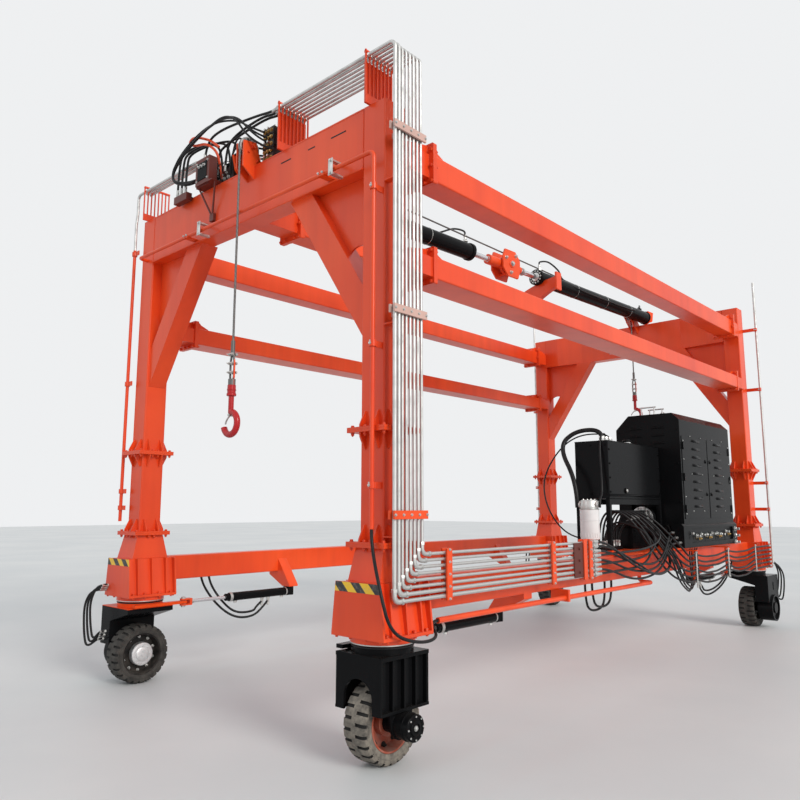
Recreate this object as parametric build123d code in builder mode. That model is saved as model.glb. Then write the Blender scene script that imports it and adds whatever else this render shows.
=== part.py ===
from build123d import *
import math
import os

# Straddle carrier on four steered wheels: two portals joined by side beams and sills.
# Millimetres, +Z up, X across the machine, Y along its travel, front towards -Y.
# The origin is on the floor, in the middle between the four wheels.

# Overall layout
track = 3230
wheelbase = 7500
leg_x = track / 2
leg_y = wheelbase / 2

# Legs
column = 220
corner_round = 12
base_floor = 805
base_plate = 22
boot_height = 328
joint_low = 1390
joint_high = 2160
beam_low = 4070
flange_size = 356
flange_thickness = 18
gusset_height = 115
gusset_thickness = 12
gusset_spread = 62
gusset_tip = 18
boot_width = 480
boot_length = 480
boot_taper = 34
boot_plate = 16
boot_rib = 14
boot_rib_spread = 144
boot_recess = 34
stub_width = 300
stub_top_width = 258

# Portal beams
beam_height = 480
beam_depth = 220
beam_waist = 160
beam_lip = 10
beam_lip_thickness = 16
flare_start = 340
flare_end = 760
beam_top = beam_low + beam_height
front_face = -leg_y - column / 2

# Haunch braces between leg and portal beam
brace_low = 2810
brace_high = 3180
brace_inner = 965
brace_outer = 705
brace_depth = 170
haunch_plate = 16
haunch_window = 3520
haunch_arch = 90

# Side beams, the beam in the middle and the sills
upper_beam_low = 4100
upper_beam_height = 210
upper_beam_width = 230
mid_beam_low = 3315
mid_beam_height = 170
mid_beam_width = 290
side_flange_reach = 400
side_flange_width = 300
side_flange_thickness = 20
side_flange_rise = 75
side_flange_drop = 40
stub_inset = 10
side_web = 12
side_web_spread = 84
middle_flange_reach = 450
sill_low = 930
sill_height = 230
sill_width = 150

# Cradle on the middle beam under the rear lift cylinder
cradle_y = 790
cradle_width = 70
cradle_plate = 26
cradle_plate_height = 230
cradle_tip_x = 400

# Slewing ring and forks
ring_radius = 215
ring_top_height = 45
running_gap = 0.3
fork_top = 705
fork_plate = 25
fork_half_width = 208
fork_half_length = 228
fork_skirt_low = 355
fork_wall = 18
arch_half_width = 128
arch_rise = 452
arch_crown = 105
rib_count = 5
rib_thickness = 12
rib_depth = 34
drive_leg_inner = 130
drive_leg_outer = 300
drive_leg_foot = 62
drive_arm_tip = 45
slot_width = 42
slot_height = 110
slot_depth = 30
slot_z = 560

# Wheels
tyre_radius = 267.5
tyre_width = 200
tyre_round = 26
bead_height = 30
rim_radius = 188
rim_wall = 12
rim_disc = 22
rim_disc_offset = -14
hub_radius = 92
hub_face = 60
hub_cap_radius = 58
hub_cap_reach = 38
tyre_seat_gap = 0.3
axle_height = tyre_radius
axle_radius = 64
motor_radius = 92
motor_reach = 285
drum_radius = 176
drum_outer = 322
drum_recess = 26
drum_rim = 22
drum_cap_radius = 70

# Steering arms and cylinders
arm_offset = 222
arm_reach = 330
arm_width = 62
arm_thickness = 26
arm_low = 712
eye_radius = 38
steer_reach = 1320
barrel_radius = 42
barrel_length = 740
barrel_gap = 60
gland_length = 40
rod_radius = 17
rod_inside = 250
jaw_gap = 5
jaw_thickness = 14
jaw_width = 66
bracket_width = 120
bracket_thickness = 16
steer_clearance = 0.4

# Hydraulic pipes outside the right side
pipe_radii = [14, 14, 11, 11, 11, 11, 11, 11]
pipe_pitch = 39
pipe_pitch_low = 41
pipe_stand_off = 236
pipe_plane_x = leg_x + pipe_stand_off
pipe_first_y = front_face - 30
pipe_low_z = sill_low + 110
pipe_sill_run = 2500
pipe_end_y = -leg_y + pipe_sill_run
pipe_rise = 380
pipe_top_z = beam_top + pipe_rise
pipe_inner_x = leg_x - 1105
pipe_bend = 55
pipe_elbow = 90
clamp_thickness = 14
clamp_height = 56
clamp_arm = 80
clamp_low_z = joint_low + 170
clamp_mid_z = joint_high + 770
clamp_high_z = beam_low + 180
clamp_first_y = -leg_y + 390
clamp_second_y = -leg_y + 1770
clamp_third_y = -leg_y + 2400
pipe_block_y = -leg_y + 2300
pipe_block_length = 60
end_fitting_radius = 19
end_fitting_length = 55

# Comb racks on the front portal beam
rack_near_x = leg_x - 40
rack_middle_x = leg_x - 1060
rack_left_x = -leg_x - 40
rack_plate = 12
rack_slat = 10
rack_sill = 70
rack_cap = 16
left_rack_rise = 330
left_pipe_count = 3
left_rack_slots = 7
left_pipe_end = -leg_x + 900

# Single pipes and conduits
side_pipe_radius = 17
conduit_radius = 16
flange_clear = 6
flange_edge = flange_size / 2 + conduit_radius + flange_clear
conduit_y = -leg_y - flange_edge
conduit_z = beam_low + 45
conduit_x = leg_x + 88
conduit_left_x = -leg_x
conduit_low_z = joint_low + 105
conduit_bend = 45
left_pipe_x = -leg_x - flange_edge
left_pipe_y = front_face - 40
left_pipe_change_z = beam_low + 190
left_conduit_low = joint_low + 110
thin_pipe_radius = 7
thin_pipe_pitch = 25
thin_pipe_x = leg_x + flange_size / 2 + 19
thin_pipe_low = joint_low - 100
thin_pipe_high = beam_low - 100
rear_pipe_top = beam_top + 400
rear_pipe_y = leg_y + 150
rear_pipe_reach = boot_width / 2 + side_pipe_radius + 20
rear_pipe_low = base_floor + 60
strap_width = 44
strap_thickness = 10
sill_tube_radius = 21
sill_tube_x = leg_x + 135
sill_tube_z = sill_low - 70
sill_tube_front = -leg_y + 410
sill_tube_rear = 180
sill_tube_hanger_y = -1600

# Power pack on the right side
pack_outer_x = leg_x + 140
pack_width = 790
pack_inner_x = pack_outer_x - pack_width
pack_front_y = 1130
pack_length = 1670
tray_thickness = 16
pack_low = sill_low + sill_height + tray_thickness
pack_height = 1575
pack_top = pack_low + pack_height
pack_chamfer_inner = 165
pack_chamfer_outer = 85
pack_edge_round = 8
louvre_columns = 2
louvre_rows = 9
louvre_length = 250
louvre_height = 26
louvre_depth = 12
louvre_pitch = 98
louvre_low = pack_low + 470
louvre_column_gap = 730
front_slot_rows = 3
front_slot_length = 155
front_slot_pitch = 92
door_plate = 6
door_margin = 55
skirt_height = 272
skirt_reach = 26
skirt_recess = skirt_reach - 6
skirt_depth = 120
skirt_rear = 30
skirt_end = 130
skirt_edge = 55
skirt_front = 90
handle_width = 160
handle_inset = 60
handle_gap = 240
handle_overhang = 20
handle_height = 95
handle_bar = 9
tank_outer_x = leg_x - 115
tank_width = 390
tank_gap = 15
tank_length = 1310
tank_rear_y = pack_front_y - tank_gap
tank_front_y = tank_rear_y - tank_length
tank_low = pack_low + 550
tank_height = 620
tank_top = tank_low + tank_height
tank_cap_from_front = 700
tank_cap_inset = 110
tank_cap_radius = 48
tank_cap_height = 46
tank_port_radius = 30
tank_port_height = 34
tank_port_pitch = 90
tank_port_x = tank_outer_x - 110
tank_port_y = tank_front_y + 95
post_size = 45
rail_height = 60
filter_gap = 85
filter_radius = 98
filter_post_gap = 6
filter_port_reach = 14
filter_height = 310
filter_head = 95
filter_x = tank_outer_x - tank_width / 2 + 55
filter_y = tank_front_y - filter_gap - filter_radius
filter_top = tank_low - 15
filter_low = filter_top - filter_head - filter_height
tray_front_y = filter_y - filter_radius - 60
tray_bracket_inset = 200
tray_bracket_reach = 500
tray_bracket_height = 150
tray_bracket_thickness = 14
engine_width = 330
engine_length = 420
engine_height = 430
pump_x = tank_outer_x - 165
pump_z = pack_low + 340
pump_flange_radius = 128
pump_flange_thickness = 26
pump_hole_radius = 14
engine_shift = 20
engine_set_back = 60
pump_bolt_radius = 96
pump_reach = 170
pump_radius = 68
drum_x = tank_outer_x + 65
drum_z = pack_low + 200
small_drum_radius = 62
small_drum_length = 110

# Pack hoses
hose_block_x = pump_x - 30
hose_block_length = 520
hose_block_y = tank_front_y + 60 + hose_block_length / 2
hose_block_height = 40
hose_start_pitch = 85
hose_radius = 11
hose_count = 6
hose_pitch = 55
hose_plane_x = leg_x + 265
hose_low_z = sill_low - 100
hose_bend = 90
hose_sag = 42
hanger_first_y = pack_front_y - 60
hanger_gap = 1050
hanger_count = 3
hanger_bar = 14
hanger_width = 34
hose_end_y = leg_y + 110
suction_radius = 24
suction_bend = 75
small_hose_radius = 8
small_hose_bend = 70
loop_width = 390

# Lift cylinders on top, on a line that runs a little askew
lift_middle_x = 100
lift_middle_z = beam_top + 105
lift_skew = 0.055
lift_barrel_radius = 95
lift_ring = 9
lift_ring_length = 46
lift_rod_radius = 34
lift_front_end = -650
lift_rear_end = 690
lift_anchor_y = leg_y + column / 2 - beam_waist / 2
lift_cheek = 24
lift_eye_radius = 62
lift_eye_gap = 60
lift_block_y = 40
lift_block_reach = 170
lift_block_width = 200
lift_block_sheave = 118
lift_plate = 22
lift_pin_head = 15
lift_pin_radius = 26
lift_clevis_length = 190
lift_clevis_radius = 62

# Hoist ropes, sheaves and hooks
rope_radius = 9
rope_stand_off = 120
rope_x = 120
rope_low = 2870
sheave_radius = 90
sheave_width = 34
sheave_centre_z = beam_top + 160
sheave_cheek = 14
sheave_cheek_gap = 46
sheave_cheek_low = beam_top - 130
sheave_guard_radius = 12
eye_loop_low = 2650
eye_loop_width = 26
swivel_low = 2560
hook_low = 2190
hook_bar = 26
hook_radius = 92
hook_sweep = 250
rear_hook_rise = 780

# Valve station on the front portal beam
valve_left_x = -640
manifold_x = valve_left_x + 210
valve_base = 12
manifold_width = 420
manifold_height = 130
manifold_depth = 120
valve_count = 5
valve_pitch = 70
valve_radius = 24
valve_reach = 95
stack_x = 285
stack_width = 150
stack_layers = 5
stack_layer_height = 62
valve_y = front_face + 110
front_box_x = -500
front_box_width = 220
front_box_height = 250
front_box_depth = 85
front_box_gap = 12
box_y = front_face - front_box_depth / 2 - front_box_gap
front_box_rise = 10
valve_foot_depth = 150
valve_foot_ledge = 40
valve_port_offset = 46
left_block_width = 220
left_block_depth = 60
left_block_height = 72
left_block_low = beam_top - 40
left_foot_width = 160
left_foot_depth = 100
left_hose_pitch = 70
arch_height = 510
boot_hose_gap = 26
arch_step = 30
manifold_hose_pitch = 130
layer_inset = 14
left_block_x = -900
left_block_y = front_face - 50
brace_bar = 9
brace_foot_z = beam_low + 175

corners = {
    "front_right": (1, -1),
    "front_left": (-1, -1),
    "rear_left": (-1, 1),
    "rear_right": (1, 1),
}
drive_corners = ("front_left", "rear_right")

os.makedirs("parts", exist_ok=True)


def save(part, name):
    part.label = name
    export_step(part, f"parts/{name}.step")
    return part


def block(x, y, z, x_size, y_size, height):
    # Rectangular bar that stands on height z, centred on x and y.
    with BuildSketch(Plane((x, y, z))) as outline:
        Rectangle(x_size, y_size)
    extrude(outline.sketch, amount=height)


def turned(start, direction, radius, length):
    # Round bar from a point along a direction.
    with BuildSketch(Plane(origin=start, z_dir=direction)) as section:
        Circle(radius)
    extrude(section.sketch, amount=length)


def tube(points, radius, bend):
    # Pipe or hose of straight runs and round bends.
    with BuildLine() as route:
        FilletPolyline(*points, radius=bend)
    start = Vector(*points[0])
    with BuildSketch(Plane(origin=start, z_dir=Vector(*points[1]) - start)) as section:
        Circle(radius)
    sweep(section.sketch, path=route.wire())


def gusset(origin, across, up, foot, height, thickness):
    # Triangular plate with blunt tips, centred on its own thickness.
    normal = across.cross(up)
    with BuildSketch(Plane(origin=origin - normal * thickness / 2, x_dir=across, z_dir=normal)) as web:
        with BuildLine():
            Polyline((0, 0), (foot, 0), (foot, gusset_tip), (gusset_thickness, height), (0, height), close=True)
        make_face()
    extrude(web.sketch, amount=thickness)


def gusset_ring(cx, cy, z, direction, half):
    # Two gussets on each side of a column, standing on a flange at z.
    foot = flange_size / 2 - half - 8
    up = Vector(0, 0, direction)
    for turn in range(4):
        angle = math.radians(90 * turn)
        across = Vector(math.cos(angle), math.sin(angle), 0)
        along = Vector(-across.Y, across.X, 0)
        for side in (-gusset_spread, gusset_spread):
            start = Vector(cx, cy, z) + across * (half - 2) + along * side
            gusset(start, across, up, foot, gusset_height, gusset_thickness)


def square_bar(cx, cy, low, high, size):
    with BuildSketch(Plane((cx, cy, low))) as outline:
        Rectangle(size, size)
    extrude(outline.sketch, amount=high - low)


def round_column(cx, cy, low, high):
    with BuildSketch(Plane((cx, cy, low))) as outline:
        RectangleRounded(column, column, corner_round)
    extrude(outline.sketch, amount=high - low)


def end_flange(cx, y, inward, low, height):
    # Bolting flange of a side beam, from y on in the direction of the beam's middle.
    plate_low = low - side_flange_drop
    plate_high = low + height + side_flange_rise
    with BuildSketch(Plane((cx, y, (plate_low + plate_high) / 2), x_dir=(1, 0, 0), z_dir=(0, inward, 0))) as plate:
        RectangleRounded(side_flange_width, plate_high - plate_low, corner_round)
    extrude(plate.sketch, amount=side_flange_thickness)


def side_stub(cx, start_y, flange_y, low, height, width):
    # Short stub with gussets and a bolting flange that carries the end of a side beam.
    inward = 1 if flange_y > start_y else -1
    with BuildSketch(Plane((cx, start_y, low + height / 2), x_dir=(1, 0, 0), z_dir=(0, inward, 0))) as stub:
        Rectangle(width - 2 * stub_inset, height - 2 * stub_inset)
    extrude(stub.sketch, amount=abs(flange_y - start_y) - side_flange_thickness)
    end_flange(cx, flange_y - inward * side_flange_thickness, inward, low, height)
    foot = abs(flange_y - start_y) - side_flange_thickness
    for side in (-side_web_spread, side_web_spread):
        start = Vector(cx + side, flange_y - inward * side_flange_thickness, low + height - stub_inset - 1)
        gusset(start, Vector(0, -inward, 0), Vector(0, 0, 1), foot - 1, side_flange_rise, side_web)


def upper_column(sx, sy):
    cx = sx * leg_x
    cy = sy * leg_y
    face = cy - sy * column / 2
    flange = sy * (leg_y - side_flange_reach)
    with BuildPart() as leg:
        round_column(cx, cy, joint_high, beam_top)
        square_bar(cx, cy, joint_high, joint_high + flange_thickness, flange_size)
        gusset_ring(cx, cy, joint_high + flange_thickness - 1, 1, column / 2)
        side_stub(cx, face, flange, upper_beam_low, upper_beam_height, upper_beam_width)
        side_stub(cx, face, flange, mid_beam_low, mid_beam_height, mid_beam_width)
    return leg.part


def mid_column(sx, sy):
    cx = sx * leg_x
    cy = sy * leg_y
    with BuildPart() as leg:
        round_column(cx, cy, joint_low, joint_high)
        square_bar(cx, cy, joint_low, joint_low + flange_thickness, flange_size)
        square_bar(cx, cy, joint_high - flange_thickness, joint_high, flange_size)
        gusset_ring(cx, cy, joint_low + flange_thickness - 1, 1, column / 2)
        gusset_ring(cx, cy, joint_high - flange_thickness + 1, -1, column / 2)
    return leg.part


def leg_base(sx, sy):
    # Base plate, end plates with sloping edges, ribs, tapered stub, flange and upper slewing ring.
    cx = sx * leg_x
    cy = sy * leg_y
    boot_low = base_floor + base_plate
    boot_top = boot_low + boot_height
    half = boot_width / 2
    edge = half - 8
    with BuildPart() as foot:
        block(cx, cy, base_floor, boot_width, boot_length, base_plate)
        for end in (-1, 1):
            with BuildSketch(Plane((cx, cy + end * boot_length / 2, boot_low - 1), x_dir=(-end, 0, 0),
                                   z_dir=(0, end, 0))) as end_plate:
                with BuildLine():
                    Polyline((-half, 0), (half, 0), (half - boot_taper, boot_height),
                             (-half + boot_taper, boot_height), close=True)
                make_face()
            extrude(end_plate.sketch, amount=-boot_plate)
        with BuildSketch(Plane((cx, cy, boot_low - 1))) as hull_foot:
            Rectangle(boot_width - 2 * boot_recess, boot_length - boot_plate)
        with BuildSketch(Plane((cx, cy, boot_top))) as hull_head:
            Rectangle(stub_width, boot_length - boot_plate)
        loft([hull_foot.sketch, hull_head.sketch])
        with BuildSketch(Plane((cx, cy, boot_top - 2))) as stub_foot:
            Rectangle(stub_width, stub_width + 60)
        with BuildSketch(Plane((cx, cy, joint_low - flange_thickness))) as stub_head:
            Rectangle(stub_top_width, stub_top_width)
        loft([stub_foot.sketch, stub_head.sketch])
        square_bar(cx, cy, joint_low - flange_thickness, joint_low, flange_size)
        for side in (-1, 1):
            for place in (-boot_rib_spread, 0, boot_rib_spread):
                with BuildSketch(Plane((cx, cy + place + side * boot_rib / 2, boot_low - 1), x_dir=(side, 0, 0),
                                       z_dir=(0, -side, 0))) as rib:
                    with BuildLine():
                        Polyline((0, 0), (edge, 0), (edge - boot_taper, boot_height), (0, boot_height), close=True)
                    make_face()
                extrude(rib.sketch, amount=boot_rib)
        turned((cx, cy, base_floor - ring_top_height), (0, 0, 1), ring_radius, ring_top_height + 1)
    return foot.part


def portal_beam(sy):
    # Box beam between two legs; its inner web flares out at both ends and a stub in the middle
    # carries the middle beam.
    face_y = sy * (leg_y + column / 2)
    half = leg_x - column / 2
    deep = face_y - sy * beam_depth
    waist = face_y - sy * beam_waist
    lip_y = face_y + sy * beam_lip
    with BuildPart() as beam:
        with BuildSketch(Plane.XY.offset(beam_low)):
            with BuildLine():
                Polyline(
                    (-half, face_y), (half, face_y), (half, deep), (leg_x - flare_start, deep),
                    (leg_x - flare_end, waist), (-leg_x + flare_end, waist),
                    (-leg_x + flare_start, deep), (-half, deep), close=True,
                )
            make_face()
        extrude(amount=beam_height)
        block(0, (face_y + lip_y) / 2 - sy * 1, beam_low, 2 * half, beam_lip + 2, beam_lip_thickness)
        side_stub(0, waist, sy * (leg_y - middle_flange_reach), upper_beam_low, upper_beam_height, upper_beam_width)
    return beam.part


def haunch(sx, sy):
    # Sloping box brace from leg to beam with a corner plate and an open arch below it.
    cy = sy * leg_y
    y0 = cy - brace_depth / 2
    face = leg_x - column / 2
    inner = leg_x - brace_inner
    outer = leg_x - brace_outer
    with BuildPart() as brace:
        with BuildSketch(Plane((0, y0 + brace_depth, 0), x_dir=(1, 0, 0), z_dir=(0, -1, 0))):
            with BuildLine():
                Polyline(
                    (sx * face, brace_low), (sx * face, brace_high), (sx * outer, beam_low),
                    (sx * inner, beam_low), close=True,
                )
            make_face()
        extrude(amount=brace_depth)
        slope = (haunch_window - brace_high) / (beam_low - brace_high)
        edge = face + (outer - face) * slope
        with BuildSketch(Plane((0, cy + haunch_plate / 2, 0), x_dir=(1, 0, 0), z_dir=(0, -1, 0))):
            with BuildLine():
                Line((sx * face, beam_low), (sx * face, haunch_window - haunch_arch))
                ThreePointArc(
                    (sx * face, haunch_window - haunch_arch),
                    (sx * (face - haunch_arch * 2 / 3), haunch_window + haunch_arch / 9),
                    (sx * (edge - 2), haunch_window),
                )
                Polyline((sx * (edge - 2), haunch_window), (sx * (outer - 2), beam_low), (sx * face, beam_low))
            make_face()
        extrude(amount=haunch_plate)
    return brace.part


def long_beam(cx, end, low, height, width):
    # Box beam along the machine with a bolting flange and gussets at both ends.
    with BuildPart() as beam:
        with BuildSketch(Plane((cx, end, low + height / 2), x_dir=(1, 0, 0), z_dir=(0, -1, 0))):
            RectangleRounded(width, height, corner_round)
        extrude(amount=2 * end)
        for sy in (-1, 1):
            end_flange(cx, sy * end, -sy, low, height)
            for side in (-side_web_spread, side_web_spread):
                start = Vector(cx + side, sy * (end - side_flange_thickness + 1), low + height - 1)
                gusset(start, Vector(0, -sy, 0), Vector(0, 0, 1), side_flange_rise * 2, side_flange_rise, side_web)
    return beam.part


def lift_point(y):
    # Point of the lift cylinders' common line at a place along the machine.
    return Vector(lift_middle_x + lift_skew * y, y, lift_middle_z)


def lift_direction():
    return Vector(lift_skew, 1, 0).normalized()


def middle_beam():
    # Beam between the portals with the curved cradle arm under the rear lift cylinder.
    end = leg_y - middle_flange_reach
    top = upper_beam_low + upper_beam_height
    saddle = lift_point(cradle_y)
    seat = saddle.Z - lift_barrel_radius
    tip = cradle_tip_x
    back = tip + cradle_plate
    with BuildPart() as beam:
        add(long_beam(0, end, upper_beam_low, upper_beam_height, upper_beam_width))
        with BuildSketch(Plane((0, cradle_y + cradle_width / 2, 0), x_dir=(1, 0, 0), z_dir=(0, -1, 0))):
            with BuildLine():
                Polyline((-upper_beam_width / 2, top - 2), (-upper_beam_width / 2, seat - 60))
                ThreePointArc((-upper_beam_width / 2, seat - 60), (tip / 3, seat + 22), (tip + 2, seat + 70))
                Line((tip + 2, seat + 70), (tip + 2, seat - 70))
                ThreePointArc((tip + 2, seat - 70), (tip * 0.6, seat - 140), (upper_beam_width / 2, top + 40))
                Polyline((upper_beam_width / 2, top + 40), (upper_beam_width / 2, top - 2),
                         (-upper_beam_width / 2, top - 2))
            make_face()
        extrude(amount=cradle_width)
        block((tip + back) / 2, cradle_y, seat - 110, cradle_plate, cradle_width + 50, cradle_plate_height)
        with BuildSketch(Plane(origin=lift_point(cradle_y - cradle_width), z_dir=lift_direction())):
            Circle(lift_barrel_radius + running_gap)
        extrude(amount=2 * cradle_width, mode=Mode.SUBTRACT)
    return beam.part


def sill(sx):
    # Lower side member between the two leg bases of one side, with the steering cylinder brackets.
    cx = sx * leg_x
    end = leg_y - boot_length / 2
    half = sill_width / 2
    with BuildPart() as beam:
        with BuildSketch(Plane((cx, end, sill_low + sill_height / 2), x_dir=(1, 0, 0), z_dir=(0, -1, 0))):
            RectangleRounded(sill_width, sill_height, corner_round)
        extrude(amount=2 * end)
        for sy in (-1, 1):
            pin_y = sy * (leg_y - arm_reach - steer_reach)
            pin_x = sx * (leg_x - arm_offset)
            plate_low = arm_low + arm_thickness / 2 + barrel_radius + 8
            block(pin_x, pin_y, plate_low, bracket_width, bracket_width, bracket_thickness)
            with BuildSketch(Plane((cx, pin_y + bracket_width / 2, 0), x_dir=(1, 0, 0), z_dir=(0, -1, 0))):
                with BuildLine():
                    Polyline(
                        (-sx * (arm_offset + bracket_width / 2), plate_low),
                        (-sx * (arm_offset + bracket_width / 2), plate_low + bracket_thickness),
                        (-sx * half, sill_low + sill_height * 0.6), (sx * half, sill_low + sill_height * 0.1),
                        (sx * half, sill_low - side_flange_drop), (-sx * (arm_offset - bracket_width / 2), plate_low),
                        close=True,
                    )
                make_face()
            extrude(amount=bracket_width)
    return beam.part


def fork_ring(cx, cy):
    # Lower slewing ring and top plate shared by both forks.
    with BuildSketch(Plane((cx, cy, fork_top - 1))) as ring:
        Circle(ring_radius - 8)
    extrude(ring.sketch, amount=base_floor - ring_top_height - running_gap - fork_top + 1)


def steering_arm(cx, cy, sx, sy):
    # Bar along the inner side of the fork that ends in the eye for the cylinder rod.
    bar_x = cx - sx * arm_offset
    start = cy + sy * fork_half_length * 0.8
    pin_y = cy - sy * arm_reach
    with BuildSketch(Plane((bar_x, (start + pin_y) / 2, arm_low))) as bar:
        Rectangle(arm_width, abs(start - pin_y))
    extrude(bar.sketch, amount=arm_thickness)
    with BuildSketch(Plane((bar_x, pin_y, arm_low))) as eye:
        Circle(eye_radius)
    extrude(eye.sketch, amount=arm_thickness)
    with BuildSketch(Plane((bar_x + sx * 30, cy, fork_top - 2))) as pad:
        Rectangle(arm_width + 20, fork_half_length)
    extrude(pad.sketch, amount=arm_low - fork_top + 4)


def idle_fork(sx, sy):
    # Box fork with arched end plates and ribs on its outer side plate.
    cx = sx * leg_x
    cy = sy * leg_y
    with BuildPart() as fork:
        fork_ring(cx, cy)
        with BuildSketch(Plane((cx, cy, fork_top - fork_plate))):
            Rectangle(2 * fork_half_width, 2 * fork_half_length)
        extrude(amount=fork_plate)
        for end in (-1, 1):
            plane = Plane((cx, cy + end * fork_half_length, 0), x_dir=(-end, 0, 0), z_dir=(0, end, 0))
            with BuildSketch(plane):
                with Locations((0, (fork_skirt_low + fork_top) / 2)):
                    Rectangle(2 * fork_half_width - 10, fork_top - fork_skirt_low)
                with BuildLine():
                    Line((-arch_half_width, fork_skirt_low - 10), (-arch_half_width, arch_rise))
                    ThreePointArc((-arch_half_width, arch_rise), (0, arch_rise + arch_crown), (arch_half_width, arch_rise))
                    Polyline((arch_half_width, arch_rise), (arch_half_width, fork_skirt_low - 10),
                             (-arch_half_width, fork_skirt_low - 10))
                make_face(mode=Mode.SUBTRACT)
            extrude(amount=-fork_wall)
        for side in (-1, 1):
            wall_x = cx + side * (fork_half_width - rib_depth - 6)
            with BuildSketch(Plane((wall_x, cy, (fork_skirt_low + fork_top) / 2), x_dir=(0, side, 0),
                                   z_dir=(side, 0, 0))):
                Rectangle(2 * fork_half_length - 2, fork_top - fork_skirt_low)
                if side == -sx:
                    with Locations((0, axle_height - (fork_skirt_low + fork_top) / 2)):
                        Circle(rim_radius, mode=Mode.SUBTRACT)
            extrude(amount=-fork_wall)
            with BuildSketch(Plane((cx + side * (fork_half_width - rib_depth / 2 - 6), cy, fork_skirt_low))):
                Rectangle(rib_depth + 10, 2 * fork_half_length)
            extrude(amount=fork_wall)
            for place in range(rib_count):
                rib_y = cy + (place / (rib_count - 1) - 0.5) * (2 * fork_half_length - 2 * rib_thickness)
                with BuildSketch(Plane((cx + side * (fork_half_width - rib_depth / 2 - 8), rib_y, fork_skirt_low))):
                    Rectangle(rib_depth, rib_thickness)
                extrude(amount=fork_top - fork_skirt_low - 2)
        motor_inner = fork_half_width - rib_depth - 6 - fork_wall
        with BuildSketch(Plane((cx + sx * motor_inner, cy, axle_height), x_dir=(0, sx, 0), z_dir=(sx, 0, 0))):
            with BuildLine():
                Polyline((-motor_radius * 1.25, fork_skirt_low - axle_height + 20), (-motor_radius, 0),
                         (motor_radius, 0), (motor_radius * 1.25, fork_skirt_low - axle_height + 20), close=True)
            make_face()
            Circle(motor_radius)
        extrude(amount=fork_wall)
        with BuildSketch(Plane((cx + sx * (hub_face + running_gap), cy, axle_height), x_dir=(0, sx, 0),
                               z_dir=(sx, 0, 0))):
            Circle(axle_radius)
        extrude(amount=motor_inner - hub_face + 2)
        with BuildSketch(Plane((cx + sx * (motor_inner + fork_wall - 2), cy, axle_height), x_dir=(0, sx, 0),
                               z_dir=(sx, 0, 0))):
            Circle(motor_radius - 8)
        extrude(amount=motor_reach - motor_inner - fork_wall)
        steering_arm(cx, cy, sx, sy)
    return fork.part


def drive_fork(sx, sy):
    # Cantilever fork with a hollow outer leg that holds the drive drum.
    cx = sx * leg_x
    cy = sy * leg_y
    leg_middle = (drive_leg_inner + drive_leg_outer) / 2
    leg_width = drive_leg_outer - drive_leg_inner
    with BuildPart() as fork:
        fork_ring(cx, cy)
        with BuildSketch(Plane((cx, cy + fork_half_length, 0), x_dir=(1, 0, 0), z_dir=(0, -1, 0))):
            with BuildLine():
                Polyline(
                    (-sx * fork_half_width, fork_top), (sx * drive_leg_outer, fork_top),
                    (sx * drive_leg_outer, fork_skirt_low + drive_leg_foot - 2),
                    (sx * drive_leg_inner, fork_skirt_low + drive_leg_foot - 2),
                    (sx * drive_leg_inner, fork_top - 3 * drive_arm_tip),
                    (-sx * fork_half_width, fork_top - drive_arm_tip), close=True,
                )
            make_face()
        extrude(amount=2 * fork_half_length)
        with BuildSketch(Plane((cx + sx * leg_middle, cy, fork_skirt_low))):
            Rectangle(leg_width, 2 * fork_half_length)
        extrude(amount=drive_leg_foot)
        with BuildSketch(Plane((cx + sx * drive_leg_outer, cy, slot_z), x_dir=(0, sx, 0), z_dir=(sx, 0, 0))):
            SlotOverall(slot_height, slot_width, rotation=90)
        extrude(amount=-slot_depth, mode=Mode.SUBTRACT)
        with BuildSketch(Plane((cx + sx * drive_leg_inner, cy, axle_height), x_dir=(0, sx, 0), z_dir=(sx, 0, 0))):
            Circle(drum_radius)
        extrude(amount=drum_outer - drive_leg_inner)
        with BuildSketch(Plane((cx + sx * drum_outer, cy, axle_height), x_dir=(0, sx, 0), z_dir=(sx, 0, 0))):
            Circle(drum_radius - drum_rim)
            Circle(drum_cap_radius, mode=Mode.SUBTRACT)
        extrude(amount=-drum_recess, mode=Mode.SUBTRACT)
        with BuildSketch(Plane((cx + sx * (hub_face + running_gap), cy, axle_height), x_dir=(0, sx, 0),
                               z_dir=(sx, 0, 0))):
            Circle(axle_radius)
        extrude(amount=drive_leg_inner - hub_face + 2)
        steering_arm(cx, cy, sx, sy)
    return fork.part


def tyre(sx, sy):
    cx = sx * leg_x
    cy = sy * leg_y
    half = tyre_width / 2
    inner = rim_radius + tyre_seat_gap
    with BuildPart() as ring:
        with BuildSketch(Plane((cx, cy, axle_height), x_dir=(1, 0, 0), z_dir=(0, -1, 0))):
            with BuildLine():
                Polyline((-half + 8, inner), (half - 8, inner), (half, inner + bead_height))
                Line((half, inner + bead_height), (half, tyre_radius - tyre_round))
                ThreePointArc(
                    (half, tyre_radius - tyre_round),
                    (half - tyre_round * 0.3, tyre_radius - tyre_round * 0.3),
                    (half - tyre_round, tyre_radius),
                )
                Line((half - tyre_round, tyre_radius), (-half + tyre_round, tyre_radius))
                ThreePointArc(
                    (-half + tyre_round, tyre_radius),
                    (-half + tyre_round * 0.3, tyre_radius - tyre_round * 0.3),
                    (-half, tyre_radius - tyre_round),
                )
                Polyline((-half, tyre_radius - tyre_round), (-half, inner + bead_height), (-half + 8, inner))
            make_face()
        revolve(axis=Axis((cx, cy, axle_height), (1, 0, 0)))
    return ring.part


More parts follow.
